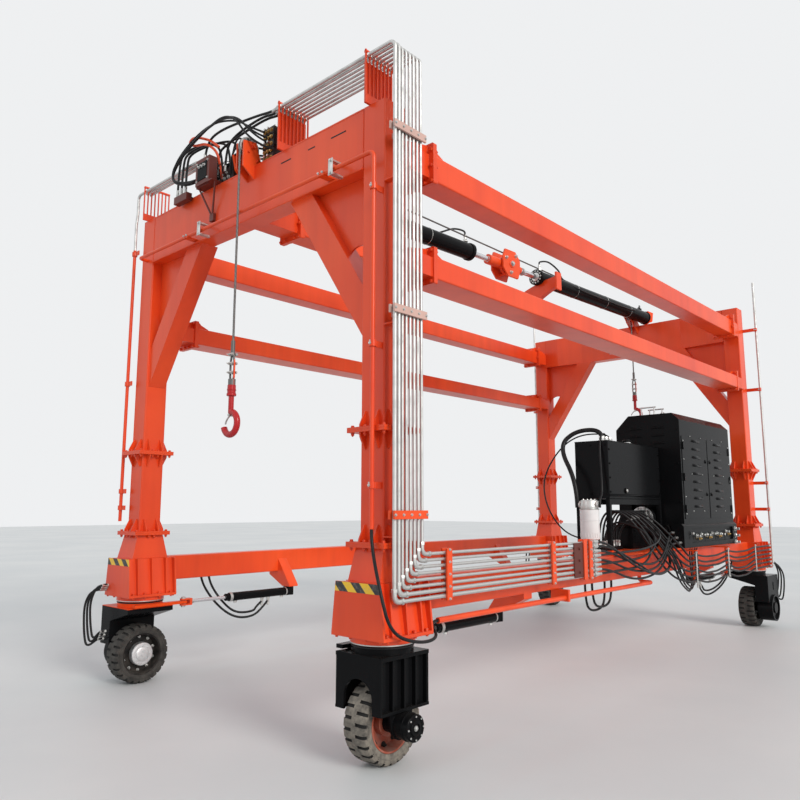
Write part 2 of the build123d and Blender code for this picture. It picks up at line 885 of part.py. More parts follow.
def rim(sx, sy):
    # Rim barrel with its disc and hub; the hub cap points to the inside of the machine.
    cx = sx * leg_x
    cy = sy * leg_y
    half = tyre_width / 2 - 10
    disc = rim_disc_offset
    with BuildPart() as wheel:
        with BuildSketch(Plane((cx, cy, axle_height), x_dir=(sx, 0, 0), z_dir=(0, -sx, 0))):
            with BuildLine():
                Polyline(
                    (-half, rim_radius), (half, rim_radius), (half, rim_radius - rim_wall),
                    (disc + rim_disc, rim_radius - rim_wall - 14), (disc + rim_disc, hub_radius),
                    (hub_face, hub_radius), (hub_face, 0), (disc - hub_cap_reach - 50, 0),
                    (disc - hub_cap_reach - 50, hub_cap_radius - 6), (disc - hub_cap_reach - 44, hub_cap_radius),
                    (disc - 40, hub_cap_radius), (disc - 40, hub_radius), (disc, hub_radius + 6),
                    (disc, rim_radius - rim_wall - 14), (-half, rim_radius - rim_wall), close=True,
                )
            make_face()
        revolve(axis=Axis((cx, cy, axle_height), (1, 0, 0)))
    return wheel.part


def steer_barrel(sx, sy):
    cx = sx * (leg_x - arm_offset)
    pin_y = sy * (leg_y - arm_reach - steer_reach)
    z = arm_low + arm_thickness / 2
    with BuildPart() as barrel:
        with BuildSketch(Plane((cx, pin_y + sy * barrel_gap, z), x_dir=(1, 0, 0), z_dir=(0, sy, 0))):
            Circle(barrel_radius)
        extrude(amount=barrel_length)
        with BuildSketch(Plane((cx, pin_y + sy * (barrel_gap + barrel_length - 1), z), x_dir=(1, 0, 0),
                               z_dir=(0, sy, 0))):
            Circle(barrel_radius - 6)
            Circle(rod_radius + steer_clearance, mode=Mode.SUBTRACT)
        extrude(amount=gland_length)
        with BuildSketch(Plane((cx, pin_y + sy * (barrel_gap + barrel_length + gland_length), z), x_dir=(1, 0, 0),
                               z_dir=(0, -sy, 0))):
            Circle(rod_radius + steer_clearance)
        extrude(amount=barrel_length - 20, mode=Mode.SUBTRACT)
        with BuildSketch(Plane((cx, pin_y, z - barrel_radius))):
            Circle(eye_radius)
            with Locations((0, sy * (barrel_gap + 10) / 2)):
                Rectangle(2 * eye_radius - 14, barrel_gap + 10)
        extrude(amount=2 * barrel_radius + 8 - running_gap)
    return barrel.part


def steer_rod(sx, sy):
    cx = sx * (leg_x - arm_offset)
    pin_y = sy * (leg_y - arm_reach)
    z = arm_low + arm_thickness / 2
    jaw = arm_thickness / 2 + jaw_gap
    start = pin_y - sy * (eye_radius + 22)
    end = sy * (leg_y - arm_reach - steer_reach + barrel_gap + barrel_length - rod_inside)
    with BuildPart() as rod:
        with BuildSketch(Plane((cx, start, z), x_dir=(1, 0, 0), z_dir=(0, -sy, 0))):
            Circle(rod_radius)
        extrude(amount=abs(start - end))
        with BuildSketch(Plane((cx, start + sy * 6, z), x_dir=(1, 0, 0), z_dir=(0, -sy, 0))):
            Rectangle(jaw_width, 2 * (jaw + jaw_thickness))
        extrude(amount=26)
        for side in (-1, 1):
            low = z + side * (jaw + jaw_thickness / 2) - jaw_thickness / 2
            with BuildSketch(Plane((cx, pin_y, low))):
                Circle(jaw_width / 2)
                with Locations((0, -sy * (eye_radius + 20) / 2)):
                    Rectangle(jaw_width, eye_radius + 20)
            extrude(amount=jaw_thickness)
    return rod.part


def pipe_offset(radius):
    # Thinner pipes lie on the same clamp bar as the thickest one.
    return pipe_radii[0] - radius


def leg_pipes():
    # Eight pipes side by side down the leg, with a bend at the top and a nested elbow at the foot.
    with BuildPart() as bank:
        for number, radius in enumerate(pipe_radii):
            x = pipe_plane_x - pipe_offset(radius)
            y = pipe_first_y + number * pipe_pitch
            top = pipe_top_z - pipe_offset(radius)
            low = pipe_low_z + number * pipe_pitch_low
            route = [(x - pipe_elbow, y, top), (x, y, top), (x, y, low), (x, y + pipe_elbow, low)]
            tube(route, radius, pipe_bend)
    return bank.part


def beam_pipes():
    # The same pipes on the racks over the front portal beam.
    with BuildPart() as bank:
        for number, radius in enumerate(pipe_radii):
            x = pipe_plane_x - pipe_offset(radius) - pipe_elbow
            y = pipe_first_y + number * pipe_pitch
            turned((x, y, pipe_top_z - pipe_offset(radius)), (-1, 0, 0), radius, x - pipe_inner_x)
    return bank.part


def sill_pipes():
    # The same pipes one above the other along the right sill, with screwed end fittings.
    with BuildPart() as bank:
        for number, radius in enumerate(pipe_radii):
            x = pipe_plane_x - pipe_offset(radius)
            y = pipe_first_y + number * pipe_pitch + pipe_elbow
            z = pipe_low_z + number * pipe_pitch_low
            turned((x, y, z), (0, 1, 0), radius, pipe_end_y - y)
            turned((x, pipe_end_y - 1, z), (0, 1, 0), end_fitting_radius, end_fitting_length)
    return bank.part


def clamps():
    # Bars that hold the pipes on the leg and over the sill, and the block near the pipes' ends.
    gaps = len(pipe_radii) - 1
    width = pipe_pitch * gaps + 60
    middle = pipe_first_y + pipe_pitch * gaps / 2
    low_height = pipe_pitch_low * gaps + 60
    low_z = pipe_low_z - 30
    stand = pipe_radii[0] + running_gap
    leg_face = leg_x + column / 2
    sill_face = leg_x + sill_width / 2
    inner_x = pipe_plane_x - stand - clamp_thickness / 2
    outer_x = pipe_plane_x + stand + clamp_thickness / 2
    arm_end = pipe_plane_x - stand - 1
    with BuildPart() as bars:
        for z in (clamp_low_z, clamp_mid_z, clamp_high_z):
            for x in (inner_x, outer_x):
                block(x, middle, z, clamp_thickness, width, clamp_height)
            block((leg_face + arm_end) / 2, -leg_y, z + 8, arm_end - leg_face, clamp_arm, clamp_height - 16)
        for y in (clamp_first_y, clamp_second_y, clamp_third_y):
            for x in (inner_x, outer_x):
                block(x, y, low_z, clamp_thickness, clamp_height, low_height)
            block((sill_face + arm_end) / 2, y, low_z + 10, arm_end - sill_face, clamp_height - 16, clamp_arm)
        block(inner_x, pipe_block_y, low_z, clamp_thickness, pipe_block_length, low_height)
        block(outer_x, pipe_block_y, low_z, clamp_thickness, pipe_block_length, low_height)
    return bars.part


def comb(x, slots, rise):
    # Upright plate on the beam with slats between the pipes and a bar on top of them.
    first = pipe_first_y - pipe_pitch / 2
    width = slots * pipe_pitch + rack_slat
    middle = first + slots * pipe_pitch / 2
    block(x, middle, beam_top, rack_plate, width, rack_sill)
    for number in range(slots + 1):
        block(x, first + number * pipe_pitch, beam_top, rack_plate, rack_slat, rise)
    block(x, middle, beam_top + rise - 1, rack_plate * 2, width, rack_cap)


def comb_racks():
    rise = pipe_rise + pipe_radii[0] + 2
    with BuildPart() as racks:
        comb(rack_near_x, len(pipe_radii), rise)
        comb(rack_middle_x, len(pipe_radii), rise)
        comb(rack_left_x, left_rack_slots, left_rack_rise + side_pipe_radius)
        for x in (rack_near_x, rack_middle_x):
            block(x, front_face + 70, beam_top, rack_slat * 6, 100, rack_plate)
    return racks.part


def side_pipes():
    # Pipes from the valve station to the left leg and the single pipe at each rear leg.
    z = beam_top + left_rack_rise - side_pipe_radius
    with BuildPart() as pipes:
        route = [
            (left_pipe_end, pipe_first_y, z), (left_pipe_x, pipe_first_y, z), (left_pipe_x, pipe_first_y, z - 200),
            (left_pipe_x, left_pipe_y, z - 330), (left_pipe_x, left_pipe_y, left_pipe_change_z),
        ]
        tube(route, pipe_radii[0], conduit_bend)
        for number in range(1, left_pipe_count):
            y = pipe_first_y + number * pipe_pitch
            turned((left_pipe_end, y, z), (-1, 0, 0), pipe_radii[0], left_pipe_end - rack_left_x + 60)
        for sx in (-1, 1):
            x = sx * (leg_x + rear_pipe_reach)
            turned((x, rear_pipe_y, rear_pipe_low), (0, 0, 1), side_pipe_radius, rear_pipe_top - rear_pipe_low)
    return pipes.part


def strap(x, y, z, towards, reach):
    # Flat clamp round a single pipe with its foot on a leg or beam.
    across = Vector(*towards)
    ring = conduit_radius + strap_thickness
    with BuildSketch(Plane((x, y, z - strap_width / 2))) as collar:
        Circle(ring)
        Circle(conduit_radius + running_gap, mode=Mode.SUBTRACT)
    extrude(collar.sketch, amount=strap_width)
    start = Vector(x, y, z) + across * (ring - 4)
    side = Vector(-across.Y, across.X, 0)
    with BuildSketch(Plane(origin=start, x_dir=side, z_dir=across)) as foot:
        Rectangle(strap_thickness, strap_width)
    extrude(foot.sketch, amount=reach - ring + 4)


def conduits():
    # Painted pipes: along the foot of the front beam and down the leg, down the left leg,
    # two thin ones on the right leg and the tube under the right sill.
    leg_front = front_face
    leg_left = -leg_x - column / 2
    leg_right = leg_x + column / 2
    stand = front_face - conduit_y
    with BuildPart() as pipes:
        route = [
            (conduit_left_x, leg_front, conduit_z), (conduit_left_x, conduit_y, conduit_z),
            (conduit_x, conduit_y, conduit_z), (conduit_x, conduit_y, conduit_low_z),
        ]
        tube(route, conduit_radius, conduit_bend)
        for z in (clamp_high_z - 400, clamp_mid_z - 200, joint_low + 390):
            strap(conduit_x, conduit_y, z, (0, 1, 0), stand)
        for x in (-leg_x + 900, leg_x - 450):
            block(x, conduit_y + stand / 2, conduit_z - strap_width / 2, strap_width * 1.5, stand, strap_thickness)
            block(x, conduit_y - conduit_radius / 2, conduit_z - strap_width / 2, strap_width * 1.5,
                  conduit_radius * 2, strap_thickness)
        turned((left_pipe_x, left_pipe_y, left_pipe_change_z), (0, 0, -1), conduit_radius,
               left_pipe_change_z - left_conduit_low)
        for z in (left_pipe_change_z - 40, joint_high + 700, joint_low + 400, joint_low + 240):
            strap(left_pipe_x, left_pipe_y, z, (1, 0, 0), leg_left - left_pipe_x)
        for number in (0, 1):
            y = front_face + 2 + number * thin_pipe_pitch
            turned((thin_pipe_x, y, thin_pipe_low), (0, 0, 1), thin_pipe_radius, thin_pipe_high - thin_pipe_low)
        for z in (clamp_low_z - 120, clamp_mid_z - 60, thin_pipe_high - 60):
            block((leg_right + thin_pipe_x) / 2, front_face + 16, z, thin_pipe_x - leg_right, 50, strap_thickness)
        for sx in (-1, 1):
            for z in (upper_beam_low + upper_beam_height / 2, mid_beam_low, joint_high - 200, joint_low + 200):
                arm_end = rear_pipe_reach + strap_width / 2
                pipe_back = rear_pipe_y - side_pipe_radius
                block(sx * (leg_x + (column / 2 + arm_end) / 2), pipe_back - 25, z, arm_end - column / 2, 30,
                      strap_width)
                block(sx * (leg_x + rear_pipe_reach), pipe_back - 6, z, strap_width, 12, strap_width)
        boot_face = leg_x + boot_width / 2
        block((boot_face + hose_plane_x + hose_radius) / 2, hose_end_y + strap_thickness / 2, hose_low_z - 30,
              hose_plane_x + hose_radius - boot_face, strap_thickness, hose_count * hose_pitch)
        tube([(sill_tube_x, sill_tube_front, sill_tube_z), (sill_tube_x, sill_tube_rear, sill_tube_z),
              (leg_x, sill_tube_rear, sill_tube_z), (leg_x, sill_tube_rear, sill_low)],
             sill_tube_radius, conduit_bend)
        block((sill_tube_x + leg_x) / 2 + 20, sill_tube_hanger_y, sill_tube_z - sill_tube_radius - 10,
              sill_tube_x - leg_x + 40, 30, sill_low - sill_tube_z + sill_tube_radius + 10)
    return pipes.part


def front_hoses():
    # Hoses of the valve station and the one from the front leg's conduit to the tube under the sill.
    base = beam_top + valve_base + manifold_height - 1
    arch = beam_top + arch_height
    with BuildPart() as hoses:
        face = stack_x + stack_width / 2
        drop = (face + pipe_inner_x) / 2
        low = beam_top + stack_layer_height * 2.5
        for number in (3, 4):
            y = pipe_first_y + number * pipe_pitch
            top = pipe_top_z - pipe_offset(pipe_radii[number])
            tube([(pipe_inner_x, y, top), (drop, y, top), (drop, y, low), (face, y, low)],
                 hose_radius, small_hose_bend / 2)
        for number, land_x in enumerate((front_box_x - 30, manifold_x + 55, manifold_x - 75)):
            y = pipe_first_y + number * pipe_pitch
            land_y = box_y if number == 0 else valve_y - valve_port_offset
            land_z = beam_top + front_box_height + front_box_rise if number == 0 else base
            top = pipe_top_z - pipe_offset(pipe_radii[number])
            tube([(pipe_inner_x, y, top), (pipe_inner_x - 80, y, top), (stack_x - 60, y, top + 40),
                  (land_x + 130, land_y, top + 100 - 40 * number), (land_x, land_y, top - 20),
                  (land_x, land_y, land_z)], hose_radius, small_hose_bend)
        for number in range(3):
            x = manifold_x + (number - 1) * manifold_hose_pitch
            left = left_block_x + (number - 1) * left_hose_pitch
            y = left_block_y - left_block_depth / 4
            back = valve_y + valve_port_offset
            tube([(x, back, base), (x, back, arch - arch_step * number),
                  (left, y, arch - arch_step * (number + 2)), (left, y, left_block_low + left_block_height)],
                 hose_radius, suction_bend)
        boot_edge = leg_x + boot_width / 2 + hose_radius + boot_hose_gap
        boot_front = -leg_y - boot_length / 2 - hose_radius - 1.5 * boot_hose_gap
        tube([(conduit_x, conduit_y, conduit_low_z), (conduit_x, conduit_y, joint_low - 20),
              (boot_edge, boot_front, base_floor + 240), (boot_edge + 8, boot_front + 150, base_floor + 10),
              (boot_edge + 8, sill_tube_front - 130, base_floor - 20),
              (sill_tube_x, sill_tube_front - 60, sill_tube_z),
              (sill_tube_x, sill_tube_front, sill_tube_z)],
             hose_radius, conduit_bend)
    return hoses.part


def valve_station():
    # Manifold with solenoid valves, the stacked block beside the pipes, the box on the front and its brace.
    base = beam_top + valve_base - 1
    with BuildPart() as station:
        block(manifold_x, valve_y, beam_top, manifold_width, valve_foot_depth, valve_base)
        block(stack_x, valve_y, beam_top, stack_width + valve_foot_ledge, valve_foot_depth, valve_base)
        block(manifold_x, valve_y, base, manifold_width, manifold_depth, manifold_height)
        for number in range(valve_count):
            x = manifold_x + (number - (valve_count - 1) / 2) * valve_pitch
            turned((x, valve_y, base + manifold_height - 1), (0, 0, 1), valve_radius, valve_reach)
            block(x, valve_y, base + manifold_height - 1, valve_radius * 2.4, manifold_depth / 2, valve_reach / 2)
        for layer in range(stack_layers):
            inset = layer_inset if layer % 2 else 0
            block(stack_x, valve_y, base + layer * stack_layer_height, stack_width - inset,
                  manifold_depth - inset, stack_layer_height + 1)
        block(front_box_x, box_y, beam_top + front_box_rise, front_box_width, front_box_depth, front_box_height)
        block(front_box_x, box_y + front_box_depth / 2, beam_top, front_box_width * 1.1, front_box_depth * 1.6,
              valve_base)
        block(left_block_x, left_block_y, left_block_low, left_block_width, left_block_depth, left_block_height)
        block(left_block_x, left_block_y + (left_block_depth + left_foot_depth) / 2 - 25, beam_top,
              left_foot_width, left_foot_depth, valve_base)
        foot = Vector(front_box_x + 70, front_face - 18, brace_foot_z)
        for x in (front_box_x - front_box_width / 2 + 10, front_box_x + front_box_width / 2 + 50):
            start = Vector(x, front_face - 60, beam_top + 4)
            turned(start, foot - start, brace_bar, (foot - start).length)
        block(front_box_x + front_box_width / 2 + 25, front_face - 40, beam_top, 70, 130, valve_base)
        block(foot.X, front_face - 14, brace_foot_z - 40, 60, 28, 70)
    return station.part


def pack_case():
    # Housing with sloping upper edges, door plates with louvres, slots in its front and a skirt with a recess.
    cx = (pack_outer_x + pack_inner_x) / 2
    cy = pack_front_y + pack_length / 2
    door_low = pack_low + skirt_height
    with BuildPart() as case:
        with BuildSketch(Plane((0, pack_front_y, 0), x_dir=(1, 0, 0), z_dir=(0, -1, 0))):
            with BuildLine():
                Polyline(
                    (pack_inner_x, pack_low), (pack_outer_x, pack_low),
                    (pack_outer_x, pack_top - pack_chamfer_outer), (pack_outer_x - pack_chamfer_outer, pack_top),
                    (pack_inner_x + pack_chamfer_inner, pack_top), (pack_inner_x, pack_top - pack_chamfer_inner),
                    close=True,
                )
            make_face()
        extrude(amount=-pack_length)
        for side, face in ((1, pack_outer_x), (-1, pack_inner_x)):
            door_height = pack_height - skirt_height - 2 * pack_chamfer_inner
            with BuildSketch(Plane((face, cy, door_low + door_height / 2 + door_margin), x_dir=(0, side, 0),
                                   z_dir=(side, 0, 0))):
                with GridLocations(pack_length / 2 - door_margin / 2, 0, 2, 1):
                    RectangleRounded(pack_length / 2 - door_margin, door_height, corner_round)
            extrude(amount=door_plate)
            with BuildSketch(Plane((face + side * door_plate, cy, louvre_low + (louvre_rows - 1) * louvre_pitch / 2),
                                   x_dir=(0, side, 0), z_dir=(side, 0, 0))):
                with GridLocations(louvre_column_gap, louvre_pitch, louvre_columns, louvre_rows):
                    SlotOverall(louvre_length, louvre_height)
            extrude(amount=-louvre_depth, mode=Mode.SUBTRACT)
        slots_z = pack_top - pack_chamfer_inner - front_slot_pitch
        with BuildSketch(Plane((cx, pack_front_y, slots_z), x_dir=(1, 0, 0), z_dir=(0, -1, 0))):
            with GridLocations(front_slot_length * 1.8, front_slot_pitch, 2, front_slot_rows):
                SlotOverall(front_slot_length, louvre_height)
        extrude(amount=-louvre_depth, mode=Mode.SUBTRACT)
        with BuildSketch(Plane((0, pack_front_y - skirt_front, 0), x_dir=(1, 0, 0), z_dir=(0, -1, 0))):
            with BuildLine():
                Polyline(
                    (pack_outer_x - skirt_depth, pack_low), (pack_outer_x + skirt_reach, pack_low),
                    (pack_outer_x + skirt_reach, door_low - skirt_reach), (pack_outer_x - 2, door_low),
                    (pack_outer_x - skirt_depth, door_low), close=True,
                )
            make_face()
        extrude(amount=-(pack_length + skirt_front + skirt_rear))
        with BuildSketch(Plane((pack_outer_x + skirt_reach, cy, pack_low + skirt_height / 2), x_dir=(0, 1, 0),
                               z_dir=(1, 0, 0))):
            RectangleRounded(pack_length - 2 * skirt_end, skirt_height - 2 * skirt_edge, corner_round)
        extrude(amount=-skirt_recess, mode=Mode.SUBTRACT)
        handle_y = pack_front_y + handle_inset
        handle_z = pack_top + handle_height
        for side in (-1, 1):
            turned((cx + side * handle_width / 2, handle_y, pack_top - 2), (0, 0, 1), handle_bar, handle_height + 2)
            turned((cx + side * handle_width / 2, handle_y + handle_gap, pack_top - 2), (0, 0, 1), handle_bar,
                   handle_height + 2)
        for y in (handle_y, handle_y + handle_gap):
            turned((cx - handle_width / 2 - handle_overhang, y, handle_z), (1, 0, 0), handle_bar,
                   handle_width + 2 * handle_overhang)
    return case.part


def tank():
    cx = tank_outer_x - tank_width / 2
    cy = (tank_front_y + tank_rear_y) / 2
    with BuildPart() as box:
        with BuildSketch(Plane((cx, cy, tank_low))):
            RectangleRounded(tank_width, tank_length, corner_round)
        extrude(amount=tank_height)
        fillet(box.edges().filter_by(Axis.Y), radius=pack_edge_round)
        cap_y = tank_front_y + tank_cap_from_front
        cap_x = tank_outer_x - tank_cap_inset
        turned((cap_x, cap_y, tank_top - 1), (0, 0, 1), tank_cap_radius, tank_cap_height)
        turned((cap_x, cap_y, tank_top - 1), (0, 0, 1), tank_cap_radius * 1.3, tank_cap_height / 4)
        for place in (0, 1, 2):
            turned((tank_port_x, tank_port_y + tank_port_pitch * place, tank_top - 1), (0, 0, 1), tank_port_radius,
                   tank_port_height + 1)
        turned((tank_outer_x - 1, cy - 260, tank_low + 90), (1, 0, 0), tank_port_radius, 14)
    return box.part


def engine():
    # Motor block under the tank with the bell and pump flange, the pump and the small drum beside it.
    low = pack_low
    cx = tank_outer_x - tank_width / 2
    block_y = pack_front_y - pump_reach - engine_length / 2
    with BuildPart() as group:
        block(cx - engine_shift, block_y - engine_set_back, low, engine_width - engine_set_back, engine_length,
              engine_height * 0.55)
        turned((pump_x, pack_front_y, pump_z), (0, -1, 0), pump_flange_radius - 16, pump_reach)
        turned((pump_x, pack_front_y - pump_reach + 1, pump_z), (0, -1, 0), pump_flange_radius,
               pump_flange_thickness)
        face_y = pack_front_y - pump_reach - pump_flange_thickness + 1
        with BuildSketch(Plane((pump_x, face_y, pump_z), x_dir=(1, 0, 0), z_dir=(0, -1, 0))):
            with PolarLocations(pump_bolt_radius, 8):
                Circle(pump_hole_radius)
        extrude(amount=-pump_flange_thickness / 2, mode=Mode.SUBTRACT)
        turned((pump_x, face_y + 1, pump_z), (0, -1, 0), pump_radius, pump_reach)
        block(pump_x, face_y - pump_reach / 2, pump_z - pump_radius - 18, pump_radius * 1.5, pump_reach * 0.7,
              pump_radius * 2 + 36)
        block(pump_x, face_y - pump_reach / 2, low, pump_radius, pump_reach * 0.5, pump_z - low - pump_radius)
        block(hose_block_x, hose_block_y, low, 90, hose_block_length, hose_block_height)
        turned((drum_x, pack_front_y, drum_z), (0, -1, 0), small_drum_radius, small_drum_length)
        turned((drum_x, pack_front_y - small_drum_length + 1, drum_z), (0, -1, 0), small_drum_radius * 0.6, 30)
    return group.part


def tray():
    # Carrying plate on the right sill, the frame that carries the tank and the brackets below the plate.
    low = sill_low + sill_height
    width = pack_outer_x - pack_inner_x
    rear = pack_front_y + pack_length
    cx = tank_outer_x - tank_width / 2
    cy = (tank_front_y + tank_rear_y) / 2
    with BuildPart() as frame:
        block((pack_outer_x + pack_inner_x) / 2, (tray_front_y + rear) / 2, low, width, rear - tray_front_y,
              tray_thickness)
        with BuildSketch(Plane((cx, cy, pack_low - 1))):
            with GridLocations(tank_width - post_size, tank_length - post_size, 2, 2):
                Rectangle(post_size, post_size)
        extrude(amount=tank_low - pack_low + 1)
        for side in (-1, 1):
            x = cx + side * (tank_width - post_size) / 2
            block(x, cy, tank_low - rail_height, post_size, tank_length, rail_height)
        post_x = filter_x - filter_radius - post_size / 2 - filter_post_gap
        post_y = filter_y + post_size * 1.6
        block(post_x, post_y, pack_low - 1, post_size, post_size, filter_top - pack_low + 1)
        block((post_x + filter_x) / 2, post_y, filter_top, filter_x - post_x + post_size, post_size,
              strap_thickness)
        face = leg_x - sill_width / 2
        for y in (tray_front_y + tray_bracket_inset, tank_rear_y - 2 * tray_bracket_inset,
                  pack_front_y + tray_bracket_inset, rear - tray_bracket_inset):
            gusset(Vector(face, y, low + 1), Vector(-1, 0, 0), Vector(0, 0, -1), tray_bracket_reach,
                   tray_bracket_height, tray_bracket_thickness)
        sill_face = leg_x + sill_width / 2
        for number in range(hanger_count):
            y = hanger_first_y + number * hanger_gap
            reach = hose_plane_x + hose_radius + hanger_bar
            bar_low = hose_low_z - 2 * hose_radius
            bar_x = hose_plane_x - hose_radius - running_gap - hanger_bar / 2
            if y < rear:
                block((sill_face + reach) / 2, y, low - hanger_bar, reach - sill_face, hanger_width, hanger_bar)
                block(bar_x, y, bar_low, hanger_bar, hanger_width, low - bar_low)
    return frame.part


def oil_filter():
    with BuildPart() as can:
        with BuildSketch(Plane((filter_x, filter_y, filter_low))):
            Circle(filter_radius)
        extrude(amount=filter_height)
        fillet(can.edges().group_by(Axis.Z)[0], radius=corner_round)
        turned((filter_x, filter_y, filter_low + filter_height - 1), (0, 0, 1), filter_radius - 12, filter_head + 1)
        for side in (-1, 1):
            turned((filter_x, filter_y, filter_low + filter_height + filter_head / 2), (side, 0, 0),
                   tank_port_radius, filter_radius + filter_port_reach)
    return can.part


def hose_height(number):
    return hose_low_z + number * hose_pitch


def pack_hoses():
    # Bundle from the block under the tank out over the sill to the hangers, the loops back to the
    # pipes' ends, the suction hose and the small hoses at the tank.
    front = tank_front_y
    inner = tank_outer_x - tank_width
    block_top = pack_low + hose_block_height
    head_z = filter_low + filter_height + filter_head / 2
    port_z = tank_top + tank_port_height
    stub_x = filter_radius + filter_port_reach
    with BuildPart() as hoses:
        for number in range(hose_count):
            z = hose_height(number)
            y = hose_block_y + (number - (hose_count - 1) / 2) * hose_start_pitch
            route = [(hose_block_x, y, block_top), (hose_block_x, y, tank_low - rail_height - 60),
                     (tank_outer_x + 110, y + 90, tank_low - 130),
                     (hose_plane_x, y + 330 - 20 * number, z + 90), (hose_plane_x, hanger_first_y - 110, z)]
            for step in range(hanger_count):
                hanger = hanger_first_y + step * hanger_gap
                route.append((hose_plane_x, hanger, z))
                if step < hanger_count - 1:
                    route.append((hose_plane_x, hanger + hanger_gap / 2, z - hose_sag + 4 * number))
            route.append((hose_plane_x, hose_end_y, z))
            tube(route, hose_radius, hose_bend)
        for number in range(3):
            pipe = 2 * number + 1
            start_z = pipe_low_z + pipe * pipe_pitch_low
            start_x = pipe_plane_x - pipe_offset(pipe_radii[pipe])
            start_y = pipe_end_y + end_fitting_length - 1
            end_x = pack_outer_x - 15 - 40 * number
            end_z = pack_low + 60 + 55 * number
            tube([(start_x, start_y, start_z), (start_x, start_y + 180, start_z),
                  (start_x + 10, front - 250, start_z - 160), (start_x - 10, front + 420, sill_low + 40 + 40 * number),
                  (pack_outer_x + 50, front + 780, end_z), (end_x, pack_front_y - skirt_front - 160, end_z),
                  (end_x, pack_front_y - skirt_front, end_z)],
                 hose_radius, hose_bend)
        for number in range(3):
            pipe = 2 * number
            start_z = pipe_low_z + pipe * pipe_pitch_low
            start_x = pipe_plane_x - pipe_offset(pipe_radii[pipe])
            start_y = pipe_end_y + end_fitting_length - 1
            end_y = hose_block_y - 150 + 2 * hose_start_pitch * number
            tube([(start_x, start_y, start_z), (start_x, start_y + 130, start_z),
                  (start_x + 25, front + 120 + 60 * number, start_z + 20),
                  (start_x - 60, end_y + 120, tank_low - 320), (hose_block_x + 32, end_y, tank_low - 200),
                  (hose_block_x + 32, end_y, block_top)],
                 hose_radius, hose_bend)
        for number in (0, 1):
            x = leg_x + 20 + 40 * number
            loop_y = front - 840 + 60 * number
            low = sill_low - 210 + 30 * number
            tube([(x, loop_y, sill_low), (x, loop_y, low), (x, loop_y + loop_width, low),
                  (x, loop_y + loop_width, sill_low)], small_hose_radius, small_hose_bend)
        tube([(tank_port_x, tank_port_y, port_z), (tank_port_x, tank_port_y, port_z + 85),
              (inner - 40, front + 40, port_z + 75), (inner - 150, front - 60, tank_top - 70),
              (filter_x - stub_x - suction_radius, filter_y, head_z + 230),
              (filter_x - stub_x - suction_radius, filter_y, head_z - tank_port_radius)],
             suction_radius, suction_bend)
        second = tank_port_y + tank_port_pitch
        thin_line = small_hose_radius * 1.3
        tube([(tank_port_x, second, port_z), (tank_port_x, second, port_z + 60),
              (tank_port_x + 30, front - 35, tank_top + 20), (tank_port_x + 60, front - 35, tank_low + 60),
              (filter_x + stub_x + thin_line, filter_y, head_z + 60),
              (filter_x + stub_x + thin_line, filter_y, head_z - tank_port_radius)],
             thin_line, conduit_bend / 2)
        third = second + tank_port_pitch
        post_face = filter_x - filter_radius - post_size - filter_post_gap
        tube([(tank_port_x, third, port_z), (tank_port_x, third, port_z + 50),
              (inner - 60, front + 20, tank_top + 60), (inner - 290, filter_y, tank_top - 330),
              (inner - 280, filter_y, tank_low - 60), (post_face - 160, filter_y, filter_low + 70),
              (post_face + 2, filter_y, filter_low + 20)],
             small_hose_radius, conduit_bend)
    return hoses.part


def lift_barrel(start_y, end_y):
    # Barrel with a gland ring at the rod end, an end cap and an eye between two cheeks on the beam.
    along = lift_direction() * (1 if end_y > start_y else -1)
    start = lift_point(start_y)
    eye = lift_point(end_y)
    length = abs(end_y - start_y) - lift_eye_gap
    turned(start, along, lift_barrel_radius, length)
    turned(start, along, lift_barrel_radius + lift_ring, lift_ring_length)
    turned(start + along * (length - lift_ring_length), along, lift_barrel_radius + lift_ring, lift_ring_length)
    turned(start + along * (length - 2), along, lift_barrel_radius * 0.45, lift_eye_gap + 2)
    across = Vector(0, 0, 1).cross(along)
    turned(eye - across * lift_cheek * 1.2, across, lift_eye_radius, lift_cheek * 2.4)
    for side in (-1, 1):
        foot = eye + across * side * (lift_cheek * 1.9) - across * lift_cheek / 2
        with BuildSketch(Plane(origin=foot, x_dir=along, z_dir=across)) as cheek:
            with BuildLine():
                ThreePointArc((lift_eye_radius, 0), (0, lift_eye_radius), (-lift_eye_radius, 0))
                Polyline((-lift_eye_radius, 0), (-lift_eye_radius * 1.4, beam_top - eye.Z),
                         (lift_eye_radius * 1.4, beam_top - eye.Z), (lift_eye_radius, 0))
            make_face()
        extrude(cheek.sketch, amount=lift_cheek)
    turned(eye - across * lift_cheek * 2.9, across, lift_pin_radius, lift_cheek * 5.8)


def lift_train():
    # Two cylinders that pull on one sheave block, laid along the top between the portals.
    with BuildPart() as train:
        lift_barrel(lift_front_end, -lift_anchor_y)
        lift_barrel(lift_rear_end, lift_anchor_y)
        for y in (lift_front_end - 90, lift_rear_end + 90):
            port = lift_point(y)
            turned(port, (0, 0, 1), tank_port_radius, lift_barrel_radius + 12)
        port = lift_point(lift_anchor_y - 250)
        turned(port, (0, 0, 1), tank_port_radius, lift_barrel_radius + 26)
    return train.part


